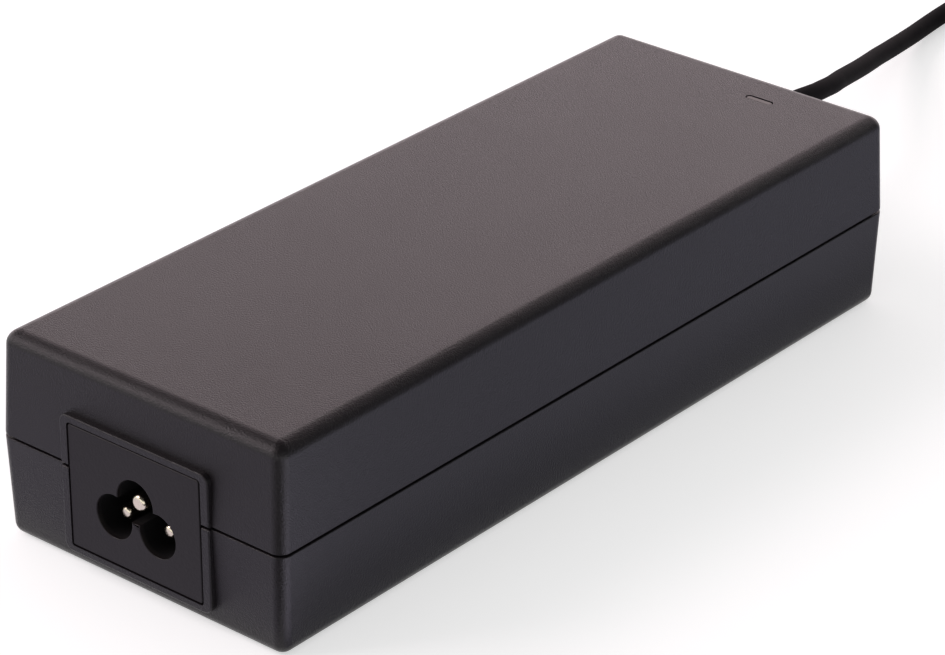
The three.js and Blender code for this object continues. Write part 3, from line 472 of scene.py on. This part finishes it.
def broaden_edges(shell, radius):
    """Draws the rounded top edges over the inlet and along the +X side further in over the top,
    ring by ring, so that they fall off more gently than the other two."""
    step = math.pi / 2 / EDGE_SEGMENTS
    for ring in range(EDGE_SEGMENTS):
        above, below = (
            CASE_HEIGHT - radius * (1 - math.cos(step * place))
            for place in (ring - 0.5, ring + 0.5)
        )
        if ring == 0:
            above = CASE_HEIGHT + 1
        pick(shell, "EDGE", lambda a, b: below < min(a.z, b.z) and max(a.z, b.z) < above)
        drawn_in = BROAD_EDGE * (1 - math.sin(step * ring))
        resize((1 - drawn_in / CASE_WIDTH, 1 - drawn_in / CASE_LENGTH, 1),
               (-CASE_WIDTH / 2, BACK_Y, CASE_HEIGHT))


def moulding(name, half):
    """One half of the case: a leaning shell with round corners and edges, and the tongue or the
    rebate that locates it on the other half."""
    side = half["side"]
    seam = SEAM_Z + side * SEAM_GAP / 2
    far = CASE_HEIGHT if side > 0 else 0
    x, y = CASE_WIDTH / 2, CASE_LENGTH / 2
    shell = block(name, (-x, FRONT_Y, min(seam, far)), (x, BACK_Y, max(seam, far)))
    pick(shell, "FACE", lambda centre, normal: near(centre.z, far))
    resize((1 - half["lean_x"] / x, 1 - half["lean_y"] / y, 1), (0, CASE_Y, far))
    pick(shell, "EDGE", runs_along(Z, 5))
    bevel(CORNER_RADIUS, 8)
    pick(shell, "EDGE", lies_at(Z, far))
    bevel(half["edge"], EDGE_SEGMENTS)
    if side > 0:
        broaden_edges(shell, half["edge"])
    pick(shell, "EDGE", lies_at(Z, seam))
    bevel(LIP_RADIUS, 3)
    pick(shell, "FACE", lambda centre, normal: near(centre.z, seam) and normal.z * side < -0.99)
    if side < 0:
        inset(TONGUE_INSET - LIP_RADIUS)
        extrude_up(TONGUE_TOP - seam)
        inset(TONGUE_THICKNESS)
        extrude_up(WALL - TONGUE_TOP)
    else:
        inset(REBATE_INSET - LIP_RADIUS)
        extrude_up(REBATE_TOP - seam)
        inset(REBATE_STEP)
        extrude_up(CASE_HEIGHT - WALL - REBATE_TOP)
    return done(shell)


def inlet_frame(half):
    """Half of the raised frame round the mains inlet, with a rounded front edge."""
    side = half["side"]
    seam = SEAM_Z + side * SEAM_GAP / 2
    far = FRAME_TOP if side > 0 else FRAME_BOTTOM
    pad = block(
        "inlet_frame", (-FRAME_HALF_WIDTH, FRAME_Y, min(seam, far)),
        (FRAME_HALF_WIDTH, FRONT_Y + REBATE_INSET, max(seam, far)),
    )
    pick(pad, "EDGE", both(lies_at(Z, far), runs_along(Y, 0.5)))
    bevel(FRAME_CORNER, 8)
    pick(pad, "EDGE", lies_at(Y, FRAME_Y))
    bevel(FRAME_EDGE, 4)
    return done(pad)


def inlet_outline(name, gap, front, back, x=0, sag=0):
    """Block with the insert's rounded outline, grown by a gap."""
    half = INSERT_HALF_WIDTH + gap
    body = block(name, (x - half, front, INSERT_BOTTOM - gap - sag),
                 (x + half, back, INSERT_TOP + gap - sag))
    pick(body, "EDGE", runs_along(Y, 1))
    bevel(INSERT_CORNER + gap, 6)
    return done(body)


def lens_outline(name, gap, bottom, top):
    """Upright bar with round ends, along X."""
    x, y = LENS_LENGTH / 2 + gap, LENS_WIDTH / 2 + gap
    bar = block(name, (LENS.x - x, LENS.y - y, bottom), (LENS.x + x, LENS.y + y, top))
    pick(bar, "EDGE", runs_along(Z, 0.3))
    bevel(y - 0.01, 10)
    return done(bar)


def case_half(name, half):
    """A half of the case with its part of the frame, open for the inlet and for the lead."""
    shell = combine(moulding(name, half), "UNION", inlet_frame(half))
    return combine(
        shell, "DIFFERENCE",
        inlet_outline("opening", INSERT_GAP, FRAME_Y - OVERCUT, FRONT_Y + WALL + OVERCUT),
        rod("gland_hole", GLAND_RADIUS, (CORD_EXIT.x, BACK_Y - WALL - GLAND_REACH, SEAM_Z),
            (CORD_EXIT.x, BACK_Y + GLAND_REACH, SEAM_Z)),
    )


top_case = combine(
    case_half("top_shell", UPPER), "DIFFERENCE",
    lens_outline("window", LENS_GAP, CASE_HEIGHT - WALL - OVERCUT, CASE_HEIGHT + OVERCUT),
)
bottom_case = case_half("bottom_shell", LOWER)
smooth(top_case)
smooth(bottom_case)

status_window = lens_outline("status_window", 0, LENS_BOTTOM, LENS_TOP)
pick(status_window, "EDGE", lies_at(Z, LENS_TOP))
bevel(LENS_EDGE, 3)
smooth(status_window)

# ------------------------------------------------------------------ mains inlet


def on_pin_axis(pin, y):
    return Vector((pin["x"], y, pin["z"])) + PIN_SET


def round_recess(a, b):
    """Test for edges that belong to the recess, and not to the outline round it."""
    return (
        max(abs(a.x), abs(b.x)) < RECESS_HALF_WIDTH
        and RECESS_BOTTOM < min(a.z, b.z) and max(a.z, b.z) < RECESS_TOP
    )


inlet_insert = inlet_outline(
    "inlet_insert", 0, INSERT_Y, INLET_FLANGE_Y + 1, INSERT_X, INSERT_SAG,
)
pick(inlet_insert, "EDGE", lies_at(Y, INSERT_Y))
bevel(INSERT_EDGE, 4)
done(inlet_insert)
combine(inlet_insert, "UNION", block("flange", *INLET_FLANGE), block("rear", *INLET_REAR))
combine(
    inlet_insert, "DIFFERENCE",
    *[rod("lobe", LOBE_RADIUS, (pin["x"], INSERT_Y - OVERCUT, pin["z"]),
          (pin["x"], INSERT_Y + RECESS_DEPTH, pin["z"]), sides=64) for pin in PINS.values()],
    *[rod("pin_hole", pin["radius"] + FIT_GAP, on_pin_axis(pin, INSERT_Y),
          on_pin_axis(pin, INLET_BACK_Y + OVERCUT), sides=32) for pin in PINS.values()],
)
pick(inlet_insert, "EDGE", both(lies_at(Y, INSERT_Y), round_recess))
bevel(RECESS_EDGE, 3)
smooth(inlet_insert)

inlet_pins = {}
for node, pin in PINS.items():
    tip = INSERT_Y + pin["tip"]
    contact = rod(
        node.replace("inlet_pin", "contact_pin"), pin["radius"],
        on_pin_axis(pin, tip), on_pin_axis(pin, PIN_END_Y), sides=40,
    )
    pick(contact, "EDGE", lies_at(Y, tip))
    bevel(PIN_TIP_ROUNDING, 8)
    smooth(contact)
    inlet_pins[node] = contact

# ------------------------------------------------------------------ strain relief

relief_profile = [
    (RELIEF_FLANGE_RADIUS, RELIEF_FLANGE_Y - RELIEF_FLANGE_THICKNESS),
    (RELIEF_FLANGE_RADIUS, RELIEF_FLANGE_Y),
    (RELIEF_NECK_RADIUS, RELIEF_FLANGE_Y),
    (RELIEF_NECK_RADIUS, RELIEF_ROOT_Y),
    (RELIEF_COLLAR_RADIUS, RELIEF_ROOT_Y),
    (RELIEF_COLLAR_RADIUS, RELIEF_ROOT_Y + RELIEF_COLLAR_LENGTH),
]
relief_taper = (RELIEF_TIP_RADIUS - RELIEF_ROOT_RADIUS) / (RELIEF_TIP_Y - RELIEF_ROOT_Y)
relief_rib_pitch = (RELIEF_RIBS_TO - RELIEF_RIBS_FROM) / RELIEF_RIBS
for rib in range(RELIEF_RIBS):
    y = RELIEF_RIBS_FROM + rib * relief_rib_pitch
    radius = RELIEF_ROOT_RADIUS + relief_taper * (y - RELIEF_ROOT_Y)
    relief_profile += [
        (radius - depth, y + along * relief_rib_pitch) for along, depth in RELIEF_RIB
    ]
relief_profile.append((RELIEF_TIP_RADIUS, RELIEF_TIP_Y))
strain_relief = turned("cord_strain_relief", (CORD_EXIT.x, 0, SEAM_Z), relief_profile)
soften(strain_relief, RELIEF_EDGE, sharper_than=25)

# ------------------------------------------------------------------ plug

plug_back = Vector((plug_x, tail_to - FIT_GAP, plug_z))
grip_profile = [(BOOT_TIP_RADIUS, 0)]
for rib in range(BOOT_RIBS):
    at = BOOT_RIBS_FROM + rib * BOOT_RIB_PITCH
    radius = BOOT_TIP_RADIUS + BOOT_WIDENING * rib / BOOT_RIBS
    grip_profile += [(radius + change, -at - along) for along, change in BOOT_RIB]
grip_profile += [(radius, -BOOT_LENGTH - at) for radius, at in GRIP_PROFILE]
plug_grip = turned("plug_handle", plug_back, grip_profile)
soften(plug_grip, GRIP_EDGE, sharper_than=20)

sleeve_root = plug_back - Vector((0, BOOT_LENGTH + GRIP_LENGTH + FIT_GAP, 0))


def plug_rod(name, radius, low, high):
    """A cylinder on the plug's axis, between two distances from the sleeve's root."""
    return rod(name, radius, sleeve_root - Vector((0, high, 0)), sleeve_root - Vector((0, low, 0)))


def plug_tube(name, radius, low, high, bore, bore_from, edge, segments=3):
    """A cylinder like that with a bore, which is open at the plug's tip."""
    tube = combine(
        plug_rod(name, radius, low, high), "DIFFERENCE",
        plug_rod("bore", bore, bore_from, SLEEVE_LENGTH + OVERCUT),
    )
    soften(tube, edge, segments)
    return tube


plug_sleeve = plug_tube(
    "plug_barrel", SLEEVE_RADIUS, 0, SLEEVE_LENGTH, SLEEVE_BORE, -OVERCUT, SLEEVE_EDGE,
)
plug_liner = plug_tube(
    "plug_liner", SLEEVE_BORE - FIT_GAP, 0, SLEEVE_LENGTH - LINER_SETBACK,
    LINER_BORE, LINER_FLOOR, SLEEVE_EDGE,
)
plug_socket = plug_tube(
    "plug_socket", SOCKET_RADIUS, SOCKET_FROM, SLEEVE_LENGTH - SOCKET_SETBACK,
    SOCKET_BORE, 0, SOCKET_EDGE, segments=2,
)

# ------------------------------------------------------------------ cable tie

# The tie's loop goes round all the turns on the coil's -Y side.
tie_x = COIL_CENTRE.x
innermost_turn = COIL_OUTER_RADIUS - COIL_PITCH * (COIL_LAYER_TURNS - 0.25)
outermost_turn = COIL_OUTER_RADIUS - COIL_PITCH * 0.75
tie_from = COIL_CENTRE.y - outermost_turn - CORD_RADIUS - TIE_SIDE_GAP - TIE_THICKNESS
tie_to = COIL_CENTRE.y - innermost_turn + CORD_RADIUS + TIE_SIDE_GAP + TIE_THICKNESS
tie_top = 2 * CORD_RADIUS + COIL_PITCH + coil_lift(tie_from) + TIE_TOP_GAP

cable_tie = block("tie_strap", (tie_x - TIE_WIDTH / 2, tie_from, 0),
                  (tie_x + TIE_WIDTH / 2, tie_to, tie_top + TIE_THICKNESS))
pick(cable_tie, "FACE", lambda centre, normal: abs(normal.x) > 0.9)
bpy.ops.mesh.inset(thickness=TIE_THICKNESS * MM, use_individual=True)
bpy.ops.mesh.bridge_edge_loops()
pick(cable_tie, "EDGE", both(
    runs_along(X, 1),
    lambda a, b: near(a.y, tie_from, 0.1) or near(a.y, tie_to, 0.1),
))
bevel(TIE_OUTER_BEND, 5)
pick(cable_tie, "EDGE", both(
    runs_along(X, 1),
    lambda a, b: (near(a.y, tie_from + TIE_THICKNESS, 0.1)
                  or near(a.y, tie_to - TIE_THICKNESS, 0.1))
    and (near(a.z, TIE_THICKNESS) or near(a.z, tie_top)),
))
bevel(TIE_INNER_BEND, 4)
done(cable_tie)

head_y = (tie_from + tie_to) / 2
tie_head = block("tie_head", (tie_x - TIE_HEAD_WIDTH / 2, head_y, tie_top + TIE_HEAD_FOOT),
                 (tie_x + TIE_HEAD_WIDTH / 2, head_y + TIE_HEAD_LENGTH, tie_top + TIE_HEAD_TOP))
pick(tie_head, "EDGE", runs_along(Z, 1))
bevel(TIE_HEAD_CORNER, 4)
done(tie_head)
tie_end = block(
    "tie_end", (tie_x - TIE_WIDTH / 2, head_y - TIE_END_LENGTH, tie_top + TIE_END_RISE),
    (tie_x + TIE_WIDTH / 2, head_y + TIE_END_OVERLAP, tie_top + TIE_END_RISE + TIE_THICKNESS),
)
combine(cable_tie, "UNION", tie_head, tie_end)
soften(cable_tie, TIE_EDGE, segments=2, sharper_than=40)

# ------------------------------------------------------------------ materials


def srgb(code):
    """Linear colour from an sRGB hex code such as "#2b2829"."""
    channels = [int(code[i:i + 2], 16) / 255 for i in (1, 3, 5)]
    return (*[c / 12.92 if c <= 0.04045 else ((c + 0.055) / 1.055) ** 2.4 for c in channels], 1)


def feed(tree, node, inputs):
    """Gives a node its inputs, each of which is a value or another node's output."""
    for key, value in inputs.items():
        if isinstance(value, bpy.types.NodeSocket):
            tree.links.new(value, node.inputs[key])
        else:
            node.inputs[key].default_value = value


def add(tree, kind, inputs, **settings):
    """Adds a node with its settings and inputs."""
    node = tree.nodes.new(kind)
    for key, value in settings.items():
        setattr(node, key, value)
    feed(tree, node, inputs)
    return node


def surface(name, **settings):
    """A new material, its node tree, its shader with these plain values, and the piece's own
    coordinates."""
    finish = bpy.data.materials.new(name)
    finish.use_nodes = True
    tree = finish.node_tree
    shader = tree.nodes["Principled BSDF"]
    feed(tree, shader, {key.replace("_", " "): value for key, value in settings.items()})
    place = add(tree, "ShaderNodeTexCoord", {}).outputs["Object"]
    return finish, tree, shader, place


def noise_scale(size_mm):
    """Scale of a noise whose features are about this size."""
    return 1 / (size_mm * MM)


def spark_textured_plastic():
    """Black ABS/polycarbonate from a spark-eroded mould: a fine even grain that breaks up the
    light and leaves small bright specks on the rounded edges. The real grain is about half as
    wide, and it is drawn at 0.3 mm so that it shows."""
    finish, tree, shader, place = surface(
        "spark_textured_black_plastic", Roughness=0.29, IOR=1.4,
    )
    grain = add(tree, "ShaderNodeTexNoise", {
        "Vector": place, "Scale": noise_scale(0.3), "Detail": 3.0, "Roughness": 0.6,
    }).outputs["Fac"]
    patches = add(tree, "ShaderNodeTexNoise", {
        "Vector": place, "Scale": noise_scale(22), "Detail": 2.0,
    }).outputs["Fac"]
    tint = add(tree, "ShaderNodeMixRGB", {
        "Fac": grain, "Color1": srgb("#191618"), "Color2": srgb("#211d20"),
    })
    rough = add(tree, "ShaderNodeMapRange", {"Value": patches, "To Min": 0.27, "To Max": 0.32})
    bump = add(tree, "ShaderNodeBump", {"Height": grain, "Distance": 0.12 * MM, "Strength": 1.0})
    feed(tree, shader, {
        "Base Color": tint.outputs["Color"], "Roughness": rough.outputs["Result"],
        "Normal": bump.outputs["Normal"],
    })
    return finish


def inlet_nylon():
    """Moulded glass-filled nylon: a fine dull speckle on the front, and duller walls inside the
    recess, where the mould was left unpolished. The recess walls also fade to near-black with
    depth, which is painted shade."""
    finish, tree, shader, place = surface("satin_brown_black_nylon", Roughness=0.36, IOR=1.35)
    speckle = add(tree, "ShaderNodeTexNoise", {
        "Vector": place, "Scale": noise_scale(0.5), "Detail": 3.0,
    }).outputs["Fac"]
    tint = add(tree, "ShaderNodeMixRGB", {
        "Fac": speckle, "Color1": srgb("#171314"), "Color2": srgb("#211d1e"),
    })
    along = add(tree, "ShaderNodeSeparateXYZ", {"Vector": place}).outputs["Y"]
    depth = add(tree, "ShaderNodeMapRange", {
        "Value": along, "From Min": (INSERT_Y + 0.25) * MM, "From Max": (INSERT_Y + 1.2) * MM,
    }).outputs["Result"]
    # painted shade: the colour fades to near-black deeper into the recess, where shade falls
    painted_recess_shade = add(tree, "ShaderNodeMixRGB", {
        "Fac": depth, "Color1": tint.outputs["Color"], "Color2": srgb("#050405"),
    })
    dulling = add(tree, "ShaderNodeMapRange", {"Value": depth, "To Min": 0.36, "To Max": 0.9})
    bump = add(tree, "ShaderNodeBump", {"Height": speckle, "Distance": 0.03 * MM, "Strength": 1.0})
    feed(tree, shader, {
        "Base Color": painted_recess_shade.outputs["Color"], "Roughness": dulling.outputs["Result"],
        "Normal": bump.outputs["Normal"],
    })
    return finish


def mottled(name, tones, size_mm, roughness, metallic=0.0, depth_mm=0.0, **settings):
    """A finish with two close tones in soft patches of a real size, and a relief if it has one."""
    finish, tree, shader, place = surface(name, Roughness=roughness, Metallic=metallic, **settings)
    patches = add(tree, "ShaderNodeTexNoise", {
        "Vector": place, "Scale": noise_scale(size_mm), "Detail": 3.0,
    }).outputs["Fac"]
    tint = add(tree, "ShaderNodeMixRGB", {
        "Fac": patches, "Color1": srgb(tones[0]), "Color2": srgb(tones[1]),
    })
    feed(tree, shader, {"Base Color": tint.outputs["Color"]})
    if depth_mm:
        bump = add(tree, "ShaderNodeBump", {
            "Height": patches, "Distance": depth_mm * MM, "Strength": 1.0,
        })
        feed(tree, shader, {"Normal": bump.outputs["Normal"]})
    return finish


case_plastic = spark_textured_plastic()
inlet_plastic = inlet_nylon()
# Nickel plate on brass: bright, slightly warm, with polishing haze.
pin_nickel = mottled(
    "nickel_plated_brass", ("#efe3c8", "#fbf1dc"), 0.6, 0.2, 1.0, depth_mm=0.004,
)
# Smoke-grey polycarbonate light guide, matt from its mould.
lens_plastic = mottled(
    "smoke_grey_polycarbonate", ("#5a5554", "#676260"), 0.8, 0.3, depth_mm=0.01, IOR=1.4,
)
# Soft PVC: matt, with the faint waviness of an extruded jacket.
cord_jacket = mottled(
    "matt_black_pvc", ("#211f21", "#282628"), 2.5, 0.6, depth_mm=0.05, Specular_IOR_Level=0.01,
)
# Harder PVC of the boot and the plug's handle: satin, with a fine grain from the mould.
cord_rubber = mottled(
    "satin_overmoulded_pvc", ("#1a181a", "#201e20"), 0.5, 0.42, depth_mm=0.03, IOR=1.35,
)
# Unfilled nylon, moulded thin: satin, with soft flow marks.
tie_nylon = mottled("satin_black_nylon", ("#1d1d1e", "#262627"), 1.5, 0.38, depth_mm=0.02)
# Nickel plate on turned contacts: greyer and a little duller than the pins.
contact_metal = mottled(
    "turned_nickel_contact", ("#cfc8ba", "#dfd9cd"), 0.5, 0.24, 1.0, depth_mm=0.005,
)

# Inner parts, each with the usual finish of its kind: its name, its two tones, the size of their
# patches, its roughness, how metallic it is, and the depth of its relief.
INNER_FINISHES = {
    "board_laminate": ("phenolic_board", ("#8f6f3e", "#a68550"), 1.2, 0.55, 0, 0.02),
    "sheet_aluminium": ("rolled_aluminium", ("#b5b7ba", "#c4c6c9"), 1.5, 0.38, 1, 0.01),
    "clear_film": ("amber_polyester_film", ("#c9bf9c", "#d8d0b4"), 4, 0.3, 0, 0),
    "ferrite": ("sintered_ferrite", ("#26272a", "#34353a"), 0.5, 0.65, 0, 0.03),
    "copper_wire": ("enamelled_copper", ("#9a4a1f", "#b5622e"), 0.8, 0.3, 0.8, 0.05),
    "winding_tape": ("yellow_polyester_tape", ("#d2a92f", "#e0bb46"), 2, 0.4, 0, 0.02),
    "white_nylon": ("natural_nylon", ("#ded9cc", "#ebe7dc"), 3, 0.45, 0, 0.01),
    "black_epoxy": ("moulded_epoxy", ("#191919", "#232324"), 0.3, 0.5, 0, 0.01),
    "blue_coating": ("blue_epoxy_dip", ("#24529a", "#3263b0"), 1.0, 0.32, 0, 0.02),
    "yellow_casing": ("yellow_capacitor_box", ("#d4a81f", "#e6bd38"), 2, 0.45, 0, 0.01),
    "fuse_ceramic": ("glazed_ceramic", ("#cfc9ba", "#e2ddd0"), 1.2, 0.3, 0, 0.01),
    "can_sleeve": ("shrunk_pvc_sleeve", ("#1f2a35", "#2b3948"), 3, 0.3, 0, 0.01),
    "led_green": ("green_led_resin", ("#3f9b48", "#5cbb64"), 1.0, 0.2, 0, 0.005),
    "brown_wire": ("brown_pvc_wire", ("#4f321f", "#64422c"), 1.5, 0.45, 0, 0.01),
    "blue_wire": ("blue_pvc_wire", ("#234c93", "#3160ac"), 1.5, 0.45, 0, 0.01),
    "green_wire": ("green_pvc_wire", ("#3a7d34", "#57964a"), 1.5, 0.45, 0, 0.01),
    "red_wire": ("red_pvc_wire", ("#9c2420", "#b53a33"), 1.5, 0.45, 0, 0.01),
    "black_wire": ("black_pvc_wire", ("#1a1a1b", "#252526"), 1.5, 0.45, 0, 0.01),
}
inner_finishes = {slot: mottled(*finish) for slot, finish in INNER_FINISHES.items()}

# ------------------------------------------------------------------ pieces and what they stand for

NODE_SLOTS = {
    "board_laminate": ["circuit_board"],
    "sheet_aluminium": ["lower_heat_spreader", "upper_heat_spreader", "primary_heat_sink",
                        "secondary_heat_sink"],
    "clear_film": ["insulating_sheet"],
    "ferrite": ["line_choke_core", "boost_choke_core_left", "boost_choke_core_right",
                "transformer_core_left", "transformer_core_right", "output_choke"],
    "copper_wire": ["line_choke_winding_left", "line_choke_winding_right"],
    "winding_tape": ["boost_choke_winding", "transformer_winding"],
    "white_nylon": ["transformer_bobbin"],
    "black_epoxy": ["bridge_rectifier", "primary_transistor", "boost_diode", "output_rectifier",
                    "optocoupler", "controller_chip"],
    "blue_coating": ["varistor", "earth_capacitor_line", "earth_capacitor_neutral"],
    "yellow_casing": ["filter_capacitor"],
    "fuse_ceramic": ["fuse"],
    "can_sleeve": ["bulk_capacitor", "output_capacitor_1", "output_capacitor_2",
                   "output_capacitor_3"],
    "led_green": ["status_led"],
    "brown_wire": ["mains_wire_line"],
    "blue_wire": ["mains_wire_neutral"],
    "green_wire": ["mains_wire_earth"],
    "red_wire": ["output_wire_positive"],
    "black_wire": ["output_wire_negative"],
}
for slot, names in NODE_SLOTS.items():
    for name in names:
        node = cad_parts[name]
        node.data.materials.clear()
        node.data.materials.append(inner_finishes[slot])


def fit(piece, finish, slot, *nodes):
    """Gives a piece its finish, and lets it stand for CAD nodes on the one body."""
    piece.data.materials.clear()
    piece.data.materials.append(finish)
    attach(piece, "root")
    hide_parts(*nodes)


fit(top_case, case_plastic, "case_plastic", "top_case")
fit(bottom_case, case_plastic, "case_plastic", "bottom_case")
fit(status_window, lens_plastic, "lens_plastic", "status_lens")
fit(inlet_insert, inlet_plastic, "inlet_plastic", "inlet_body")
for node, contact in inlet_pins.items():
    fit(contact, pin_nickel, "pin_nickel", node)
fit(strain_relief, cord_rubber, "cord_rubber", "strain_relief")
fit(output_cord, cord_jacket, "cord_rubber", "cord_lead", "cord_coil", "cord_tail")
fit(cable_tie, tie_nylon, "tie_nylon", "cable_tie")
fit(plug_grip, cord_rubber, "cord_rubber", "plug_grip")
fit(plug_sleeve, contact_metal, "contact_metal", "plug_sleeve")
fit(plug_liner, inner_finishes["black_epoxy"], "black_epoxy", "plug_insulator")
fit(plug_socket, contact_metal, "contact_metal", "plug_contact")

# ------------------------------------------------------------------ floor and room

FLOOR_SIZE = 8000
FLOOR_Z = -0.2
FLOOR_GLOW = 0.54
ROOM_LIGHT = 0.45


def seen_directly(tree):
    """1 for rays that come straight from the camera, a gloss or a glass, which see white."""
    path = add(tree, "ShaderNodeLightPath", {})
    either = add(tree, "ShaderNodeMath", {
        0: path.outputs["Is Camera Ray"], 1: path.outputs["Is Glossy Ray"],
    }, operation="MAXIMUM")
    return add(tree, "ShaderNodeMath", {
        0: either.outputs[0], 1: path.outputs["Is Transmission Ray"],
    }, operation="MAXIMUM").outputs[0]


bpy.ops.object.select_all(action="DESELECT")
bpy.ops.mesh.primitive_plane_add(size=FLOOR_SIZE * MM, location=(0, 0, FLOOR_Z * MM))
floor = start("floor")
# Matt paper, with a glow that lifts it to white where it is seen directly.
floor_paint = bpy.data.materials.new("pale_floor")
floor_paint.use_nodes = True
tree = floor_paint.node_tree
tree.nodes.clear()
matt = add(tree, "ShaderNodeBsdfDiffuse", {"Color": srgb("#e6e6e6")})
glow = add(tree, "ShaderNodeEmission", {"Color": srgb("#ffffff"), "Strength": FLOOR_GLOW})
lit = add(tree, "ShaderNodeAddShader", {0: matt.outputs[0], 1: glow.outputs[0]})
add(tree, "ShaderNodeOutputMaterial", {
    "Surface": add(tree, "ShaderNodeMixShader", {
        0: seen_directly(tree), 1: matt.outputs[0], 2: lit.outputs[0],
    }).outputs[0],
})
floor.data.materials.append(floor_paint)

world = bpy.data.worlds.new("studio")
bpy.context.scene.world = world
world.use_nodes = True
tree = world.node_tree
tree.nodes.clear()
room = add(tree, "ShaderNodeBackground", {"Color": srgb("#ffffff"), "Strength": ROOM_LIGHT})
white = add(tree, "ShaderNodeBackground", {"Color": srgb("#ffffff"), "Strength": 1.0})
add(tree, "ShaderNodeOutputWorld", {
    "Surface": add(tree, "ShaderNodeMixShader", {
        0: seen_directly(tree), 1: room.outputs[0], 2: white.outputs[0],
    }).outputs[0],
})

# ------------------------------------------------------------------ flags, cards and lamps


def card(name, place, turn, width, height, radiance, colour="#ffffff", taper=1):
    """A studio flag or bounce card, which only shows in the gloss of the adapter. Its -X end may
    be narrower than its other one."""
    bpy.ops.object.select_all(action="DESELECT")
    bpy.ops.mesh.primitive_plane_add(size=1)
    bpy.ops.transform.resize(value=(width * MM, height * MM, 1))
    panel = start(name)
    pick(panel, "EDGE", lambda a, b: a.x < 0 and b.x < 0)
    resize((1, taper, 1), (0, 0, 0))
    done(panel)
    panel.rotation_euler = [math.radians(angle) for angle in turn]
    panel.location = Vector(place) * MM
    bpy.ops.object.transform_apply()
    panel.visible_camera = panel.visible_diffuse = panel.visible_shadow = False
    panel.visible_transmission = False
    cloth = bpy.data.materials.new(name)
    cloth.use_nodes = True
    cloth.node_tree.nodes.clear()
    add(cloth.node_tree, "ShaderNodeOutputMaterial", {
        "Surface": add(cloth.node_tree, "ShaderNodeEmission", {
            "Color": srgb(colour), "Strength": radiance,
        }).outputs[0],
    })
    panel.data.materials.append(cloth)


def softbox(name, azimuth, elevation, distance, width, height, radiance, colour):
    """A soft lamp that faces the adapter, with its sizes in metres. Azimuth 0 stands at +Y, and
    90 at -X."""
    a, e = math.radians(azimuth), math.radians(elevation)
    towards = Vector((-math.sin(a) * math.cos(e), math.cos(a) * math.cos(e), math.sin(e)))
    bpy.ops.object.light_add(type="AREA", location=towards * distance)
    lamp = bpy.context.object
    lamp.name = name
    lamp.rotation_euler = towards.to_track_quat("Z", "Y").to_euler()
    lamp.data.shape = "RECTANGLE"
    lamp.data.size, lamp.data.size_y = width, height
    lamp.data.energy = radiance * math.pi * width * height
    lamp.data.color = srgb(colour)[:3]
    lamp.visible_camera = False


# Dark flags overhead, on the right and on the floor keep the plastic black away from the lamps.
# Pale cards on the table give the two near sides their soft sheen, and the corner card lights the
# corner between them.
card("ceiling_flag", (0, 0, 1600), (0, 0, 0), 6000, 6000, 0.06)
card("right_flag", (152, 200, 150), (90, 0, 90), 460, 300, 0.08, "#f4eeff")
card("right_table_card", (92, 110, 0.2), (0, 0, 0), 117, 392, 0.82, "#edebff")
card("right_foot_card", (38.5, 80, 0.4), (0, 0, 0), 11, 330, 0.3, "#edebff")
card("end_table_card", (-50, -147, 0.2), (0, 0, 0), 168, 120, 0.74, "#f3ecff")
card("front_flag", (96, -151, 0.4), (0, 0, 0), 130, 122, 0.02)
card("corner_card", (85, -74, 0.6), (0, 0, 12), 100, 84, 2.5, "#f0eaff", taper=0.05)
card("far_floor_flag", (-420, -770, 0.2), (0, 0, 0), 1040, 1040, 0.1)

softbox("backdrop_light", 42, 14, 1.8, 3.2, 1.1, 1.1, "#ffdde5")
softbox("front_left_light", 129, 38, 1.8, 1.1, 0.7, 5.4, "#ffeff4")
